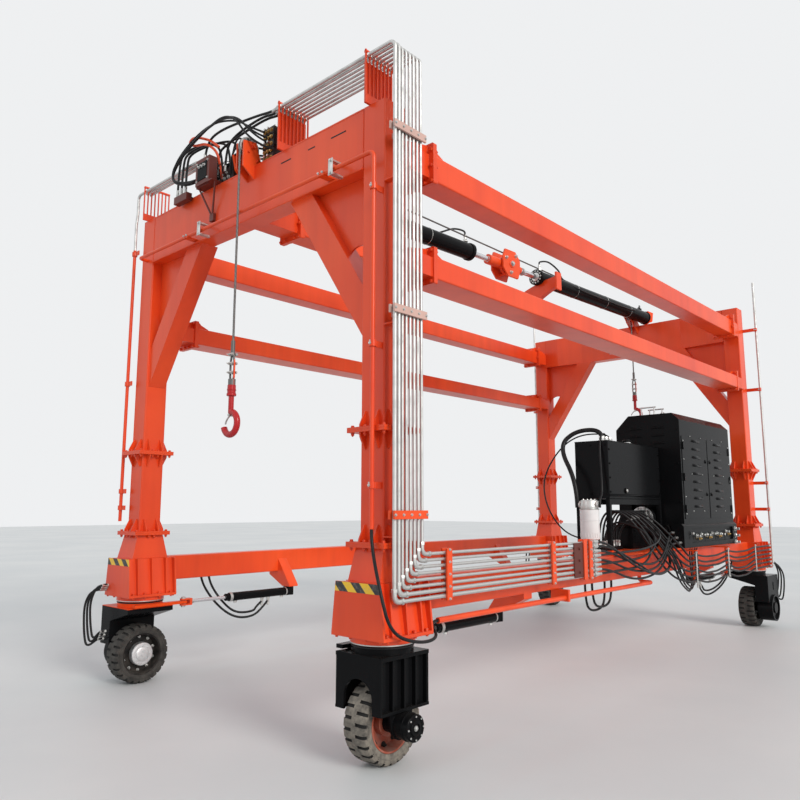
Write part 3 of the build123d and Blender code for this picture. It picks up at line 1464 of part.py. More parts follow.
def lift_block():
    # Two cheeks with cut corners, the sheave between them, the bolts and the rods with their clevises.
    centre = lift_point(lift_block_y)
    along = lift_direction()
    across = along.cross(Vector(0, 0, 1)).normalized()
    half = lift_block_reach
    with BuildPart() as block_set:
        for side in (-1, 1):
            face = centre + across * (side * (lift_block_width - lift_plate) / 2 - lift_plate / 2)
            with BuildSketch(Plane(origin=face, x_dir=along, z_dir=across)) as cheek:
                with BuildLine():
                    Polyline(
                        (-half, -half * 0.45), (-half * 0.45, -half), (half * 0.75, -half), (half, -half * 0.4),
                        (half, half * 0.45), (half * 0.45, half), (-half * 0.75, half), (-half, half * 0.4),
                        close=True,
                    )
                make_face()
                with Locations((0, 0)):
                    Circle(lift_pin_radius + 4, mode=Mode.SUBTRACT)
            extrude(cheek.sketch, amount=lift_plate)
        pin_reach = lift_block_width / 2 + lift_pin_head
        turned(centre - across * pin_reach, across, lift_pin_radius + 4, 2 * pin_reach)
        turned(centre - across * sheave_width / 2, across, lift_block_sheave, sheave_width)
        corner = half * 0.68
        bolts = (Vector(-corner, 0, corner * 0.5), Vector(corner * 0.7, 0, corner),
                 Vector(-corner * 0.2, 0, -corner))
        for place in bolts:
            at = centre + along * place.X + Vector(0, 0, place.Z)
            turned(at - across * pin_reach, across, lift_pin_radius / 2, 2 * pin_reach)
        front_rod = lift_point(lift_front_end)
        turned(front_rod, along, lift_rod_radius, lift_block_y - lift_front_end - half * 0.6)
        rear_rod = lift_point(lift_rear_end)
        turned(rear_rod, -along, lift_rod_radius, lift_rear_end - lift_block_y - half * 0.6)
        turned(centre - along * (half + lift_clevis_length), along, lift_clevis_radius,
               lift_clevis_length + half * 0.5)
        turned(centre + along * (half + lift_clevis_length * 0.6), -along, lift_clevis_radius * 0.8,
               lift_clevis_length * 0.6 + half * 0.5)
    return block_set.part


def rope_place(sy):
    # The rope hangs in front of each portal, over the load side at the rear one.
    if sy < 0:
        return front_face - rope_stand_off
    return leg_y + column / 2 - beam_waist - rope_stand_off


def hoist_rope(sy):
    # Rope from the lift block over the sheave down to the eye loop, with the sheave between its cheeks.
    rope_y = rope_place(sy)
    rise = hook_rise(sy)
    low = rope_low + rise
    loop_low = eye_loop_low + rise
    centre_y = rope_y - sy * sheave_radius
    top = sheave_centre_z + sheave_radius
    bend = sheave_radius
    run_end = lift_block_y + sy * lift_block_reach * 0.5
    beam_face = front_face if sy < 0 else leg_y + column / 2 - beam_waist
    with BuildPart() as rope:
        tube([(rope_x, run_end, top), (rope_x, rope_y, top), (rope_x, rope_y, low)], rope_radius, bend)
        turned((rope_x - sheave_width / 2, centre_y, sheave_centre_z), (1, 0, 0), sheave_radius - rope_radius / 2,
               sheave_width)
        turned((rope_x - sheave_cheek_gap - 20, centre_y, sheave_centre_z), (1, 0, 0), sheave_guard_radius * 1.4,
               2 * sheave_cheek_gap + 40)
        for side in (-1, 1):
            x = rope_x + side * sheave_cheek_gap - sheave_cheek / 2
            with BuildSketch(Plane((x, 0, 0), x_dir=(0, 1, 0), z_dir=(1, 0, 0))) as cheek:
                with BuildLine():
                    if sy < 0:
                        Polyline(
                            (beam_face, sheave_cheek_low), (beam_face - 120, sheave_cheek_low + 90),
                            (beam_face - 120, sheave_centre_z + 30), (centre_y + 40, sheave_centre_z + 50),
                            (centre_y + 110, beam_top), (beam_face, beam_top), close=True,
                        )
                    else:
                        Polyline(
                            (beam_face, sheave_cheek_low), (centre_y - 60, sheave_centre_z - 50),
                            (centre_y - 40, sheave_centre_z + 50), (centre_y + 60, sheave_centre_z + 50),
                            (beam_face + 90, beam_top), (beam_face, beam_top), close=True,
                        )
                make_face()
            extrude(cheek.sketch, amount=sheave_cheek)
        for side in (-1, 1):
            tube([(rope_x, rope_y, low + 60), (rope_x + side * eye_loop_width, rope_y, low - 60),
                  (rope_x + side * eye_loop_width, rope_y, loop_low + 30), (rope_x, rope_y, loop_low)],
                 rope_radius, eye_loop_width)
        turned((rope_x, rope_y, low - 10), (0, 0, 1), rope_radius * 1.9, 130)
        turned((rope_x, rope_y, swivel_low + rise + 60), (0, 0, 1), 30, eye_loop_low - swivel_low - 40)
    return rope.part


def hook_rise(sy):
    # The rear hook hangs higher than the front one.
    return 0 if sy < 0 else rear_hook_rise


def hook(sy):
    # Swivel collar, shank and the round bowl, open on one side towards the tip.
    rope_y = rope_place(sy)
    low = swivel_low + hook_rise(sy)
    centre = hook_low + hook_rise(sy) + hook_radius + hook_bar
    with BuildPart() as piece:
        turned((rope_x, rope_y, low - 30), (0, 0, 1), 34, 90 - running_gap)
        turned((rope_x, rope_y, centre + hook_radius - 10), (0, 0, 1), hook_bar - 4,
               low - 15 - centre - hook_radius)
        with BuildSketch(Plane((rope_x, rope_y, centre + hook_radius), x_dir=(0, 1, 0), z_dir=(1, 0, 0))):
            Circle(hook_bar)
        revolve(axis=Axis((rope_x, rope_y, centre), (0, 1, 0)), revolution_arc=hook_sweep)
    return piece.part


for corner, (sx, sy) in corners.items():
    save(upper_column(sx, sy), f"upper_column_{corner}")
    save(leg_base(sx, sy), f"leg_base_{corner}")
    if corner in drive_corners:
        save(drive_fork(sx, sy), f"fork_{corner}")
    else:
        save(idle_fork(sx, sy), f"fork_{corner}")
    save(tyre(sx, sy), f"tyre_{corner}")
    save(rim(sx, sy), f"rim_{corner}")
    save(steer_barrel(sx, sy), f"steer_barrel_{corner}")
    save(steer_rod(sx, sy), f"steer_rod_{corner}")

save(Compound([mid_column(sx, sy) for sx, sy in corners.values()]), "mid_columns")
save(Compound([haunch(sx, sy) for sx, sy in corners.values()]), "haunch_braces")
save(portal_beam(-1), "front_portal_beam")
save(portal_beam(1), "rear_portal_beam")
for side, sx in (("right", 1), ("left", -1)):
    beam_end = leg_y - side_flange_reach
    upper_beam = long_beam(sx * leg_x, beam_end, upper_beam_low, upper_beam_height, upper_beam_width)
    save(upper_beam, f"upper_side_beam_{side}")
    mid_beam = long_beam(sx * leg_x, beam_end, mid_beam_low, mid_beam_height, mid_beam_width)
    save(mid_beam, f"mid_side_beam_{side}")
    save(sill(sx), f"sill_{side}")
save(leg_pipes(), "leg_pipes")
save(beam_pipes(), "beam_pipes")
save(sill_pipes(), "sill_pipes")
save(clamps(), "pipe_clamps")
save(comb_racks(), "comb_racks")
save(side_pipes(), "side_pipes")
save(conduits(), "conduits")
save(valve_station(), "valve_station")
save(front_hoses(), "front_hoses")
save(pack_hoses(), "pack_hoses")
save(middle_beam(), "middle_beam")
save(pack_case(), "pack_enclosure")
save(tank(), "tank")
save(engine(), "engine")
save(tray(), "pack_tray")
save(oil_filter(), "oil_filter")
save(lift_train(), "lift_barrels")
save(lift_block(), "lift_block")
for end, sy in (("front", -1), ("rear", 1)):
    save(hoist_rope(sy), f"hoist_rope_{end}")
    save(hook(sy), f"hook_{end}")
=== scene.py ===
import math
import random
from itertools import product

import bmesh
import bpy
from mathutils import Matrix, Vector


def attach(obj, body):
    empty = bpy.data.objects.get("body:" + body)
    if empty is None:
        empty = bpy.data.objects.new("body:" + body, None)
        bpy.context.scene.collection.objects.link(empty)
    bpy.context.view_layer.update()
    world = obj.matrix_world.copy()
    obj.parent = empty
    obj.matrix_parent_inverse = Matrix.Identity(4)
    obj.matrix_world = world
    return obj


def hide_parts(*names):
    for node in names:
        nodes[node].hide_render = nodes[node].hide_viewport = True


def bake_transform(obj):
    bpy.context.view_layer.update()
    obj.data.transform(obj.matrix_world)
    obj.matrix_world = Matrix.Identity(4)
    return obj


# Looks of a four-legged straddle carrier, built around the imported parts. Metres, front towards -Y.

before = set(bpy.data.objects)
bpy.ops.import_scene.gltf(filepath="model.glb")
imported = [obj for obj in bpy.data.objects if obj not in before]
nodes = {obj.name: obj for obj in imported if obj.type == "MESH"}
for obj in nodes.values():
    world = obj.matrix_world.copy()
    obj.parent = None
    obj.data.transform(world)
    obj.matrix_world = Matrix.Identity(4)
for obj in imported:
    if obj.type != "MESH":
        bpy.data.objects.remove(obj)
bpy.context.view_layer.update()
random.seed(7)

DRIVE_CORNERS = ("front_left", "rear_right")
SIDES = (-1, 1)
UP, DOWN, FRONT, BACK, RIGHT, LEFT = (0, 0, 1), (0, 0, -1), (0, -1, 0), (0, 1, 0), (1, 0, 0), (-1, 0, 0)
FLAT, WHEEL_PLANE, PORTAL_PLANE = (RIGHT, BACK), (BACK, UP), (RIGHT, UP)


# Node trees

class Finish:
    """A procedural material with short calls for its texture nodes."""

    def __init__(self, name):
        self.material = bpy.data.materials.new(name)
        self.material.use_nodes = True
        self.tree = self.material.node_tree
        self.shader = self.tree.nodes["Principled BSDF"]
        self.place = self.add("TexCoord", "Object")

    def feed(self, socket, value):
        if isinstance(value, bpy.types.NodeSocket):
            self.tree.links.new(value, socket)
        else:
            socket.default_value = (*value, 1) if socket.type == "RGBA" else value

    def add(self, kind, output, *inputs, **settings):
        """Adds a node, sets it up and feeds its inputs, and gives one of its outputs."""
        made = self.tree.nodes.new(f"ShaderNode{kind}")
        for key, value in settings.items():
            setattr(made, key, value)
        for name, value in inputs:
            self.feed(made.inputs[name], value)
        return made.outputs[output]

    def stretch(self, scale):
        return self.add("Mapping", "Vector", ("Vector", self.place), ("Scale", scale))

    def noise(self, scale, detail=4.0, roughness=0.55, stretch=None):
        place = self.stretch(stretch) if stretch else self.place
        return self.add("TexNoise", "Fac", ("Vector", place), ("Scale", scale), ("Detail", detail),
                        ("Roughness", roughness))

    def between(self, value, low, high, start=0.0, end=1.0):
        return self.add("MapRange", "Result", ("Value", value), ("From Min", low), ("From Max", high),
                        ("To Min", start), ("To Max", end))

    def patches(self, low, high, *noise):
        return self.between(self.noise(*noise), low, high)

    def maths(self, operation, first, second=0.5):
        return self.add("Math", 0, (0, first), (1, second), operation=operation)

    def times(self, first, second):
        return self.maths("MULTIPLY", first, second)

    def blend(self, amount, first, second):
        return self.add("Mix", 2, (0, amount), (6, first), (7, second), data_type="RGBA")

    def axis(self, name):
        return self.add("SeparateXYZ", name, (0, self.place))

    def ledges(self):
        """Dust in patches on faces that look up."""
        up = self.add("SeparateXYZ", "Z", (0, self.add("NewGeometry", "Normal")))
        return self.times(self.between(up, 0.55, 0.95), self.patches(0.35, 0.65, 9.0, 6.0))

    def bump(self, height, strength, distance=0.001, rounding=None):
        inputs = [("Height", height), ("Strength", strength), ("Distance", distance)]
        if rounding:
            inputs.append(("Normal", self.add("Bevel", "Normal", ("Radius", rounding), samples=4)))
        return self.add("Bump", "Normal", *inputs)

    def surface(self, colour, roughness, normal, **fixed):
        inputs = {"Base_Color": colour, "Roughness": roughness, "Normal": normal, **fixed}
        for name, value in inputs.items():
            self.feed(self.shader.inputs[name.replace("_", " ")], value)
        return self.material


DUST = (0.36, 0.31, 0.26)


def scaled(colour, share):
    return tuple(c * share for c in colour)


def paint(name, light, dark, gloss, dust=0.35, grime_top=0.0, coat=0.1, shine=0.35):
    """Brushed or sprayed enamel: slow colour drift, vertical streaks, dust on ledges, soft rounded edges."""
    made = Finish(name)
    drift = made.patches(0.3, 0.7, 0.8, 3.0)
    streak = made.patches(0.42, 0.72, 6.0, 5.0, 0.55, (1, 1, 0.07))
    colour = made.blend(drift, dark, light)
    colour = made.blend(made.times(streak, 0.22), colour, scaled(dark, 0.55))
    speck = made.patches(0.56, 0.74, 55.0, 6.0, 0.7)
    settled = made.maths("MAXIMUM", made.ledges(), made.times(speck, 0.3))
    if grime_top:
        low = made.between(made.axis("Z"), grime_top, 0.0)
        settled = made.maths("MAXIMUM", settled, made.times(low, made.patches(0.3, 0.7, 14.0, 5.0)))
    settled = made.times(settled, dust)
    colour = made.blend(settled, colour, DUST)
    height = made.maths("ADD", made.times(made.noise(160.0, 2.0), 0.12), made.noise(7.0, 2.0))
    roughness = made.between(settled, 0.0, 0.4, gloss, 0.75)
    normal = made.bump(height, 0.25, 0.0012, 0.004)
    return made.surface(colour, roughness, normal, Coat_Weight=coat, Coat_Roughness=0.12,
                        Specular_IOR_Level=shine)


def two_finishes(name, first, second, mask, dust=0.05):
    """One piece with two finishes, each a colour, roughness and metal value, split by place."""
    made = Finish(name)
    cut = mask(made)
    drift = made.times(made.patches(0.35, 0.7, 5.0, 5.0), 0.35)
    shades = [made.blend(drift, finish[0], scaled(finish[0], 0.6)) for finish in (first, second)]
    settled = made.times(made.ledges(), dust)
    colour = made.blend(settled, made.blend(cut, *shades), DUST)
    if first[2] != second[2]:
        made.feed(made.shader.inputs["Metallic"], made.between(cut, 0.0, 1.0, first[2], second[2]))
    normal = made.bump(made.noise(120.0, 3.0), 0.12, 0.0008, 0.003)
    shine = 0.06 if BLACK_COAT in (first, second) else 0.35
    return made.surface(colour, made.between(cut, 0.0, 1.0, first[1], second[1]), normal,
                        Specular_IOR_Level=shine)


SOFT_EDGE = 0.0006


def beyond(axis, low, high=99.0, size=False):
    """Mask for the part of a piece between two values along an axis."""
    def mask(made):
        value = made.axis(axis)
        if size:
            value = made.maths("ABSOLUTE", value)
        above = made.between(value, low - SOFT_EDGE, low + SOFT_EDGE)
        return made.times(above, made.between(value, high - SOFT_EDGE, high + SOFT_EDGE, 1.0, 0.0))
    return mask


def beside(middle, reach):
    """Mask for what lies further than a reach from a middle plane."""
    def mask(made):
        away = made.maths("ABSOLUTE", made.maths("SUBTRACT", made.axis("X"), middle))
        return made.between(away, reach - SOFT_EDGE, reach + SOFT_EDGE)
    return mask


def near_lift_axis(made):
    """The rods of the lift cylinders, by their distance from the cylinders' slanted axis."""
    middle = made.maths("ADD", made.times(made.axis("Y"), LIFT_SLANT), LIFT_X)
    across = made.maths("SUBTRACT", made.axis("X"), middle)
    up = made.maths("SUBTRACT", made.axis("Z"), LIFT_HEIGHT)
    far = made.maths("SQRT", made.maths("ADD", made.times(across, across), made.times(up, up)))
    return made.between(far, 0.0365, 0.0375, 1.0, 0.0)


def metal(name, colour, roughness, stain, stretch=(1, 1, 1)):
    """Plated or bare steel with a drawn grain and dull stains."""
    made = Finish(name)
    patch = made.patches(0.38, 0.68, 11.0, 6.0)
    shade = made.blend(made.times(patch, stain), colour, scaled(colour, 0.38))
    dull = made.between(patch, 0.0, 1.0, roughness, roughness + 0.25)
    return made.surface(shade, dull, made.bump(made.noise(90.0, 3.0, 0.55, stretch), 0.12, 0.0008),
                        Metallic=0.9)


def rubber(name, dark, dusty, amount):
    """Solid tyre rubber, chalky where it rolls; its near-black copy in the hollows of the tread is painted
    shade.
    """
    made = Finish(name)
    colour = made.blend(made.times(made.patches(0.3, 0.7, 16.0, 8.0, 0.7), amount), dark, dusty)
    return made.surface(colour, 0.85, made.bump(made.noise(220.0, 4.0), 0.5))


def hose_cover(name):
    """Smooth black hose rubber with faint dusty patches."""
    made = Finish(name)
    patch = made.times(made.patches(0.4, 0.75, 20.0, 6.0), 0.25)
    colour = made.blend(patch, (0.009, 0.009, 0.01), (0.05, 0.048, 0.046))
    return made.surface(colour, 0.4, made.bump(made.noise(260.0, 2.0), 0.2, 0.0005), Specular_IOR_Level=0.2)


def wire_rope(name):
    """Twisted strands as diagonal bands round the rope."""
    made = Finish(name)
    bands = made.add("TexWave", "Fac", ("Vector", made.stretch((1, 1, 0.7))), ("Scale", 70.0),
                     wave_type="BANDS", bands_direction="DIAGONAL")
    colour = made.blend(bands, (0.05, 0.05, 0.05), (0.26, 0.25, 0.24))
    return made.surface(colour, 0.5, made.bump(bands, 0.8, 0.002), Metallic=0.6)


def hazard_film(name):
    """Yellow and black diagonal stripes, slightly faded and scuffed."""
    made = Finish(name)
    slope = made.maths("ADD", made.axis("X"), made.axis("Z"))
    phase = made.maths("FRACT", made.times(slope, 6.1))
    stripe = made.times(made.between(phase, 0.49, 0.51), made.between(phase, 0.0, 0.02))
    colour = made.blend(stripe, (0.85, 0.52, 0.02), (0.018, 0.018, 0.02))
    colour = made.blend(made.times(made.patches(0.5, 0.75, 40.0, 6.0), 0.35), colour, DUST)
    return made.surface(colour, 0.45, made.bump(made.noise(30.0, 3.0), 0.1, 0.0005))


DRAWN = (1, 1, 0.08)
MATERIALS = {
    "orange_paint": paint("orange_enamel", (0.88, 0.088, 0.014), (0.72, 0.05, 0.009), 0.34, dust=0.12),
    "black_paint": paint("black_enamel", (0.0075, 0.0078, 0.0085), (0.004, 0.004, 0.0045), 0.24, dust=0.03,
                         coat=0.0, shine=0.06),
    "tyre_rubber": rubber("dusty_rubber", (0.05, 0.045, 0.04), (0.33, 0.29, 0.235), 0.85),
    "dark_rubber": rubber("dark_rubber", (0.014, 0.013, 0.012), (0.16, 0.145, 0.125), 0.4),
    # near-black rubber for the tread slots: painted shade in the recesses
    "slot_shade_rubber": rubber("slot_shade_rubber", (0.008, 0.0075, 0.007), (0.03, 0.027, 0.024), 0.4),
    "rim_paint": paint("wheel_enamel", (0.012, 0.012, 0.013), (0.008, 0.008, 0.008), 0.4, dust=0.2,
                       grime_top=0.6, coat=0.0, shine=0.1),
    # dusty orange of the front right rim: the dust is real, the orange colour is a painted highlight of the
    # rim
    "dusty_orange_highlight": paint("dusty_orange_highlight", (0.42, 0.06, 0.018), (0.2, 0.03, 0.012), 0.5, dust=0.6,
                         grime_top=0.5),
    "chrome_rod": metal("chrome", (0.75, 0.76, 0.78), 0.12, 0.1, DRAWN),
    "zinc_pipe": metal("zinc", (0.6, 0.6, 0.585), 0.4, 0.2, DRAWN),
    "bright_steel": metal("plated_steel", (0.62, 0.62, 0.6), 0.32, 0.4),
    "hub_silver": metal("hub_silver", (0.72, 0.72, 0.72), 0.42, 0.22),
    "brass": metal("brass", (0.62, 0.42, 0.16), 0.35, 0.5),
    "rope_steel": wire_rope("wire_rope"),
    "hose_rubber": hose_cover("hose_cover"),
    "seal_rubber": hose_cover("seal_rubber"),
    "hook_red": paint("hook_enamel", (0.5, 0.012, 0.016), (0.36, 0.008, 0.01), 0.3, dust=0.1),
    "filter_white": paint("filter_enamel", (0.8, 0.8, 0.79), (0.72, 0.72, 0.71), 0.3, dust=0.12),
    "hazard_film": hazard_film("hazard_film"),
    "brown_primer": paint("brown_primer", (0.11, 0.018, 0.01), (0.07, 0.012, 0.008), 0.5, dust=0.15),
}

LIFT_X, LIFT_SLANT, LIFT_HEIGHT = 0.1, 0.055, 4.655
ORANGE_COAT = ((0.83, 0.078, 0.013), 0.36, 0.0)
BLACK_COAT = ((0.0075, 0.0078, 0.0085), 0.25, 0.0)
CHROME_FACE = ((0.75, 0.76, 0.78), 0.14, 0.9)
STEEL_FACE = ((0.62, 0.62, 0.61), 0.3, 0.9)
SPLIT_NODES = {
    "lift_block": (ORANGE_COAT, CHROME_FACE, near_lift_axis),
    "lift_barrels": (BLACK_COAT, ORANGE_COAT, beyond("Y", 3.68, size=True)),
    "hoist_rope": (((0.16, 0.155, 0.15), 0.5, 0.6), ORANGE_COAT, beside(0.12, 0.03)),
    "steer_rod": (CHROME_FACE, ORANGE_COAT, beyond("Y", 3.335, size=True)),
    "fork_front_left": (BLACK_COAT, ORANGE_COAT, beyond("Z", 0.7)),
    "engine": (BLACK_COAT, STEEL_FACE, beyond("Y", 0.93, 0.963)),
    "pack_enclosure": (BLACK_COAT, STEEL_FACE, beyond("Z", 2.7545)),
    "tank": (BLACK_COAT, STEEL_FACE, beyond("Z", 2.3475)),
    "pack_tray": (ORANGE_COAT, BLACK_COAT, beyond("Z", 1.19)),
    "oil_filter": (((0.78, 0.78, 0.77), 0.32, 0.0), STEEL_FACE, beyond("Z", 1.612)),
    "pipe_clamps": (ORANGE_COAT, ((0.62, 0.4, 0.34), 0.45, 0.0), beyond("Z", 2.6, 4.6)),
    "valve_station": (((0.03, 0.02, 0.018), 0.35, 0.0), ((0.13, 0.022, 0.014), 0.4, 0.0),
                      beyond("Y", 3.85, size=True)),
}
# the front right rim takes the dusty orange painted highlight, the other rims black enamel
SLOT_WORDS = (("tyre", "tyre_rubber"), ("rim_front_right", "dusty_orange_highlight"), ("rim", "rim_paint"),
              ("steer_barrel", "black_paint"), ("fork", "black_paint"), ("hose", "hose_rubber"),
              ("pipes", "zinc_pipe"), ("rope", "rope_steel"), ("hook", "hook_red"))


def finish_of(name, splits):
    """The split finish of a node, or the plain one that a word in its name stands for."""
    for word, finish in splits.items():
        if name.startswith(word):
            return finish
    for word, slot in SLOT_WORDS:
        if word in name:
            return MATERIALS[slot]
    return MATERIALS["orange_paint"]


def dress_frame():
    splits = {word: two_finishes(f"{word}_finishes", *split) for word, split in SPLIT_NODES.items()}
    for name, piece in nodes.items():
        piece.data.materials.clear()
        piece.data.materials.append(finish_of(name, splits))


# Small shapes

def linked(name, data):
    """A new object of some data in the scene."""
    piece = bpy.data.objects.new(name, data)
    bpy.context.scene.collection.objects.link(piece)
    return piece


def placed(at, along, across=None):
    z = Vector(along).normalized()
    if across is None:
        across = RIGHT if abs(z.x) < 0.9 else BACK
    x = Vector(across)
    x = (x - z * x.dot(z)).normalized()
    turn = Matrix((x, z.cross(x), z)).transposed().to_4x4()
    return Matrix.Translation(Vector(at)) @ turn


def circle(radius, sides):
    step = math.tau / sides
    return [(radius * math.cos(step * n), radius * math.sin(step * n)) for n in range(sides)]


def round_about(centre, radius, count, spans=PORTAL_PLANE, phase=0.0, shut=False):
    """Even points on a circle in the plane that two directions span, with the first one again when shut."""
    first, second = (Vector(s) for s in spans)
    angles = [math.tau * (n + phase) / count for n in range(count + shut)]
    return [Vector(centre) + (first * math.cos(a) + second * math.sin(a)) * radius for a in angles]


def sleeve(inner, outer, height, edge=0.002):
    return (inner, 0), (outer, edge), (outer, height - edge), (inner, height)


def nozzle(neck, wide, step, height, *tip):
    return (neck, 0), (neck, step), (wide, step + 0.002), (wide, height), *tip


def smooth_path(points, step=0.02):
    """Even points along a smooth curve through the given ones."""
    knots = [Vector(p) for p in points]
    knots = [2 * knots[0] - knots[1], *knots, 2 * knots[-1] - knots[-2]]
    path = [knots[1]]
    for before, start, end, after in zip(knots, knots[1:], knots[2:], knots[3:]):
        count = max(2, round((end - start).length / step))
        for n in range(1, count + 1):
            t = n / count
            bow = 2 * before - 5 * start + 4 * end - after
            twist = 3 * start - before - 3 * end + after
            path.append(0.5 * (2 * start + (end - before) * t + bow * t * t + twist * t ** 3))
    return path


def soft_path(points, step=0.03):
    """Points read from a NURBS spline over the route's points, a step or less apart."""
    curve = bpy.data.curves.new("route", "CURVE")
    curve.dimensions = "3D"
    spline = curve.splines.new("NURBS")
    spline.points.add(len(points) - 1)
    for knot, point in zip(spline.points, points):
        knot.co = (*point, 1)
    spline.order_u = 3
    spline.use_endpoint_u = True
    longest = max((Vector(a) - Vector(b)).length for a, b in zip(points, points[1:]))
    curve.resolution_u = min(16, max(4, round(longest / step)))
    holder = bpy.data.objects.new("route", curve)
    mesh = bpy.data.meshes.new_from_object(holder)
    path = [vertex.co.copy() for vertex in mesh.vertices]
    bpy.data.objects.remove(holder)
    bpy.data.meshes.remove(mesh)
    bpy.data.curves.remove(curve)
    return path


class Form:
    """Collects small shapes of one finish in one mesh that rides on one body, or, when given a bend, is left
    in its world place on no body.
    """

    made = []

    def __init__(self, name, slot="bright_steel", body="frame", sharp=38, bend=None, instead=None, other=()):
        self.name, self.slot, self.body = name, slot, body
        self.sharp, self.bend, self.instead = sharp, bend, instead
        self.materials = [MATERIALS[kind] for kind in (slot, *other)]
        self.mesh = bmesh.new()
        Form.made.append(self)

    def loops(self, place, rows, closed=False):
        rings = [[self.mesh.verts.new(place @ Vector(p)) for p in row] for row in rows]
        size = len(rings[0])
        for low, high in zip(rings, rings[1:] + rings[:1] if closed else rings[1:]):
            for n in range(size):
                self.mesh.faces.new((low[n], low[(n + 1) % size], high[(n + 1) % size], high[n]))
        if not closed:
            self.mesh.faces.new(rings[0][::-1])
            self.mesh.faces.new(rings[-1])

    def lathe(self, at, along, profile, sides=20, closed=False):
        rows = [[(x, y, height) for x, y in circle(radius, sides)] for radius, height in profile]
        self.loops(placed(at, along), rows, closed)

    def nut(self, at, along, size, height, stud=0.0, washer=True):
        """Hexagon head or nut across flats, with its washer, and the end of the stud when asked."""
        base = size * 0.12 if washer else 0.0
        if washer:
            self.lathe(at, along, ((size * 0.78, 0), (size * 0.78, base)), 14)
        corner = size / math.sqrt(3)
        self.lathe(at, along, ((corner, base), (corner, base + height * 0.86),
                               (corner * 0.86, base + height)), 6)
        if stud:
            top = base + height
            self.lathe(at, along, ((size * 0.3, top - 0.001), (size * 0.3, top + stud * 0.85),
                                   (size * 0.24, top + stud)), 10)

    def nuts(self, places, *look, **more):
        for at in places:
            self.nut(at, *look, **more)

    def slab(self, at, size, bevel=0.002, along=UP):
        """Block with cut edges that stands on a point and reaches along a direction."""
        bevel = min(bevel, *(side / 3 for side in size))
        rows = []
        for inset, z in ((bevel, 0), (0, bevel), (0, size[2] - bevel), (bevel, size[2])):
            x, y = size[0] / 2 - inset, size[1] / 2 - inset
            rows.append([(px, py, z) for px, py in (
                (x, y - bevel), (x - bevel, y), (bevel - x, y), (-x, y - bevel),
                (-x, bevel - y), (bevel - x, -y), (x - bevel, -y), (x, bevel - y))])
        self.loops(placed(at, along), rows)

    def bar(self, path, radius, sides=10, taper=None):
        """Round bar or hose along points, with its section carried along without twist."""
        points = [Vector(p) for p in path]
        side = (points[1] - points[0]).normalized().orthogonal().normalized()
        rows = []
        for n, point in enumerate(points):
            ahead = (points[min(n + 1, len(points) - 1)] - points[max(n - 1, 0)]).normalized()
            side = (side - ahead * side.dot(ahead)).normalized()
            other = ahead.cross(side)
            width = radius if taper is None else radius * taper(n / (len(points) - 1))
            rows.append([point + side * x + other * y for x, y in circle(width, sides)])
        self.loops(Matrix(), rows)

    def run(self, route, radius=0.011, sides=12, slack=0.0, step=0.03):
        """Hose along the spline of a route, with a little seeded slack between its ends."""
        if slack:
            inner = [tuple(c + random.uniform(-slack, slack) for c in p) for p in route[1:-1]]
            route = [route[0], *inner, route[-1]]
        self.bar(soft_path(route, step), radius, sides)

    def bead(self, start, end, size=0.006, step=0.012):
        """Weld seam: a low round bar with small even ripples."""
        start, end = Vector(start), Vector(end)
        count = max(2, round((end - start).length / step))
        path = [start.lerp(end, n / count) for n in range(count + 1)]
        self.bar(path, size, 6, lambda t: 0.8 + 0.2 * math.cos(math.pi * round(t * count)))

    def finish(self):
        bmesh.ops.recalc_face_normals(self.mesh, faces=self.mesh.faces)
        mesh = bpy.data.meshes.new(self.name)
        self.mesh.to_mesh(mesh)
        self.mesh.free()
        mesh.shade_smooth()
        mesh.set_sharp_from_angle(angle=math.radians(self.sharp))
        for material in self.materials:
            mesh.materials.append(material)
        piece = linked(self.name, mesh)
        if self.bend:
            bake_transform(piece)
        else:
            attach(piece, self.body)
        if self.instead:
            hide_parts(self.instead)


# Places on the machine, as in the frame

LEG_X, LEG_Y = 1.615, 3.75
CORNERS = [(corner, sx, sy, sx * LEG_X, sy * LEG_Y) for corner, sx, sy in (
    ("front_right", 1, -1), ("front_left", -1, -1), ("rear_left", -1, 1), ("rear_right", 1, 1))]
BEAM_LOW, BEAM_TOP = 4.07, 4.55
BASE_FLOOR = 0.805
BOOT_TOP = 1.155
AXLE = 0.2675
PIPE_RADII = (0.014, 0.014) + (0.011,) * 6
PIPE_X, PIPE_Y = 1.851, -3.89
PIPE_LOW, PIPE_TOP = 1.04, 4.93
PIPES = [(n, radius, PIPE_X - PIPE_RADII[0] + radius, PIPE_Y + 0.039 * n, PIPE_LOW + 0.041 * n,
          PIPE_TOP - PIPE_RADII[0] + radius) for n, radius in enumerate(PIPE_RADII)]
BETWEEN_PIPES = (-0.5, 1.5, 3.5, 5.5, 7.5)
PACK_OUTER, PACK_INNER = 1.755, 0.965
PACK_FRONT, PACK_REAR = 1.13, 2.80
PACK_TOP = 2.751
PACK_FACES = ((1, PACK_OUTER + 0.006), (-1, PACK_INNER - 0.006))
TANK_TOP = 2.346
BUNDLE_X = 1.88
BUNDLE = [0.83 + 0.055 * n for n in range(6)]
HANGERS = (1.07, 2.12, 3.17)
COMB_XS = (1.575, 0.555)
ROPE_X = 0.12


def bolt_pair(form, at, along, grip, size, stud=0.012):
    """Head on one side of a joint and nut with stud end on the other."""
    at, along = Vector(at), Vector(along)
    form.nut(at + along * grip, along, size, size * 0.6)
    form.nut(at - along * grip, -along, size, size * 0.75, stud)


def column_side(turn):
    """Outward and sideways directions of one side of a square column."""
    across = Matrix.Rotation(math.pi / 2 * turn, 3, "Z") @ Vector(RIGHT)
    return across, Vector((-across.y, across.x, 0))


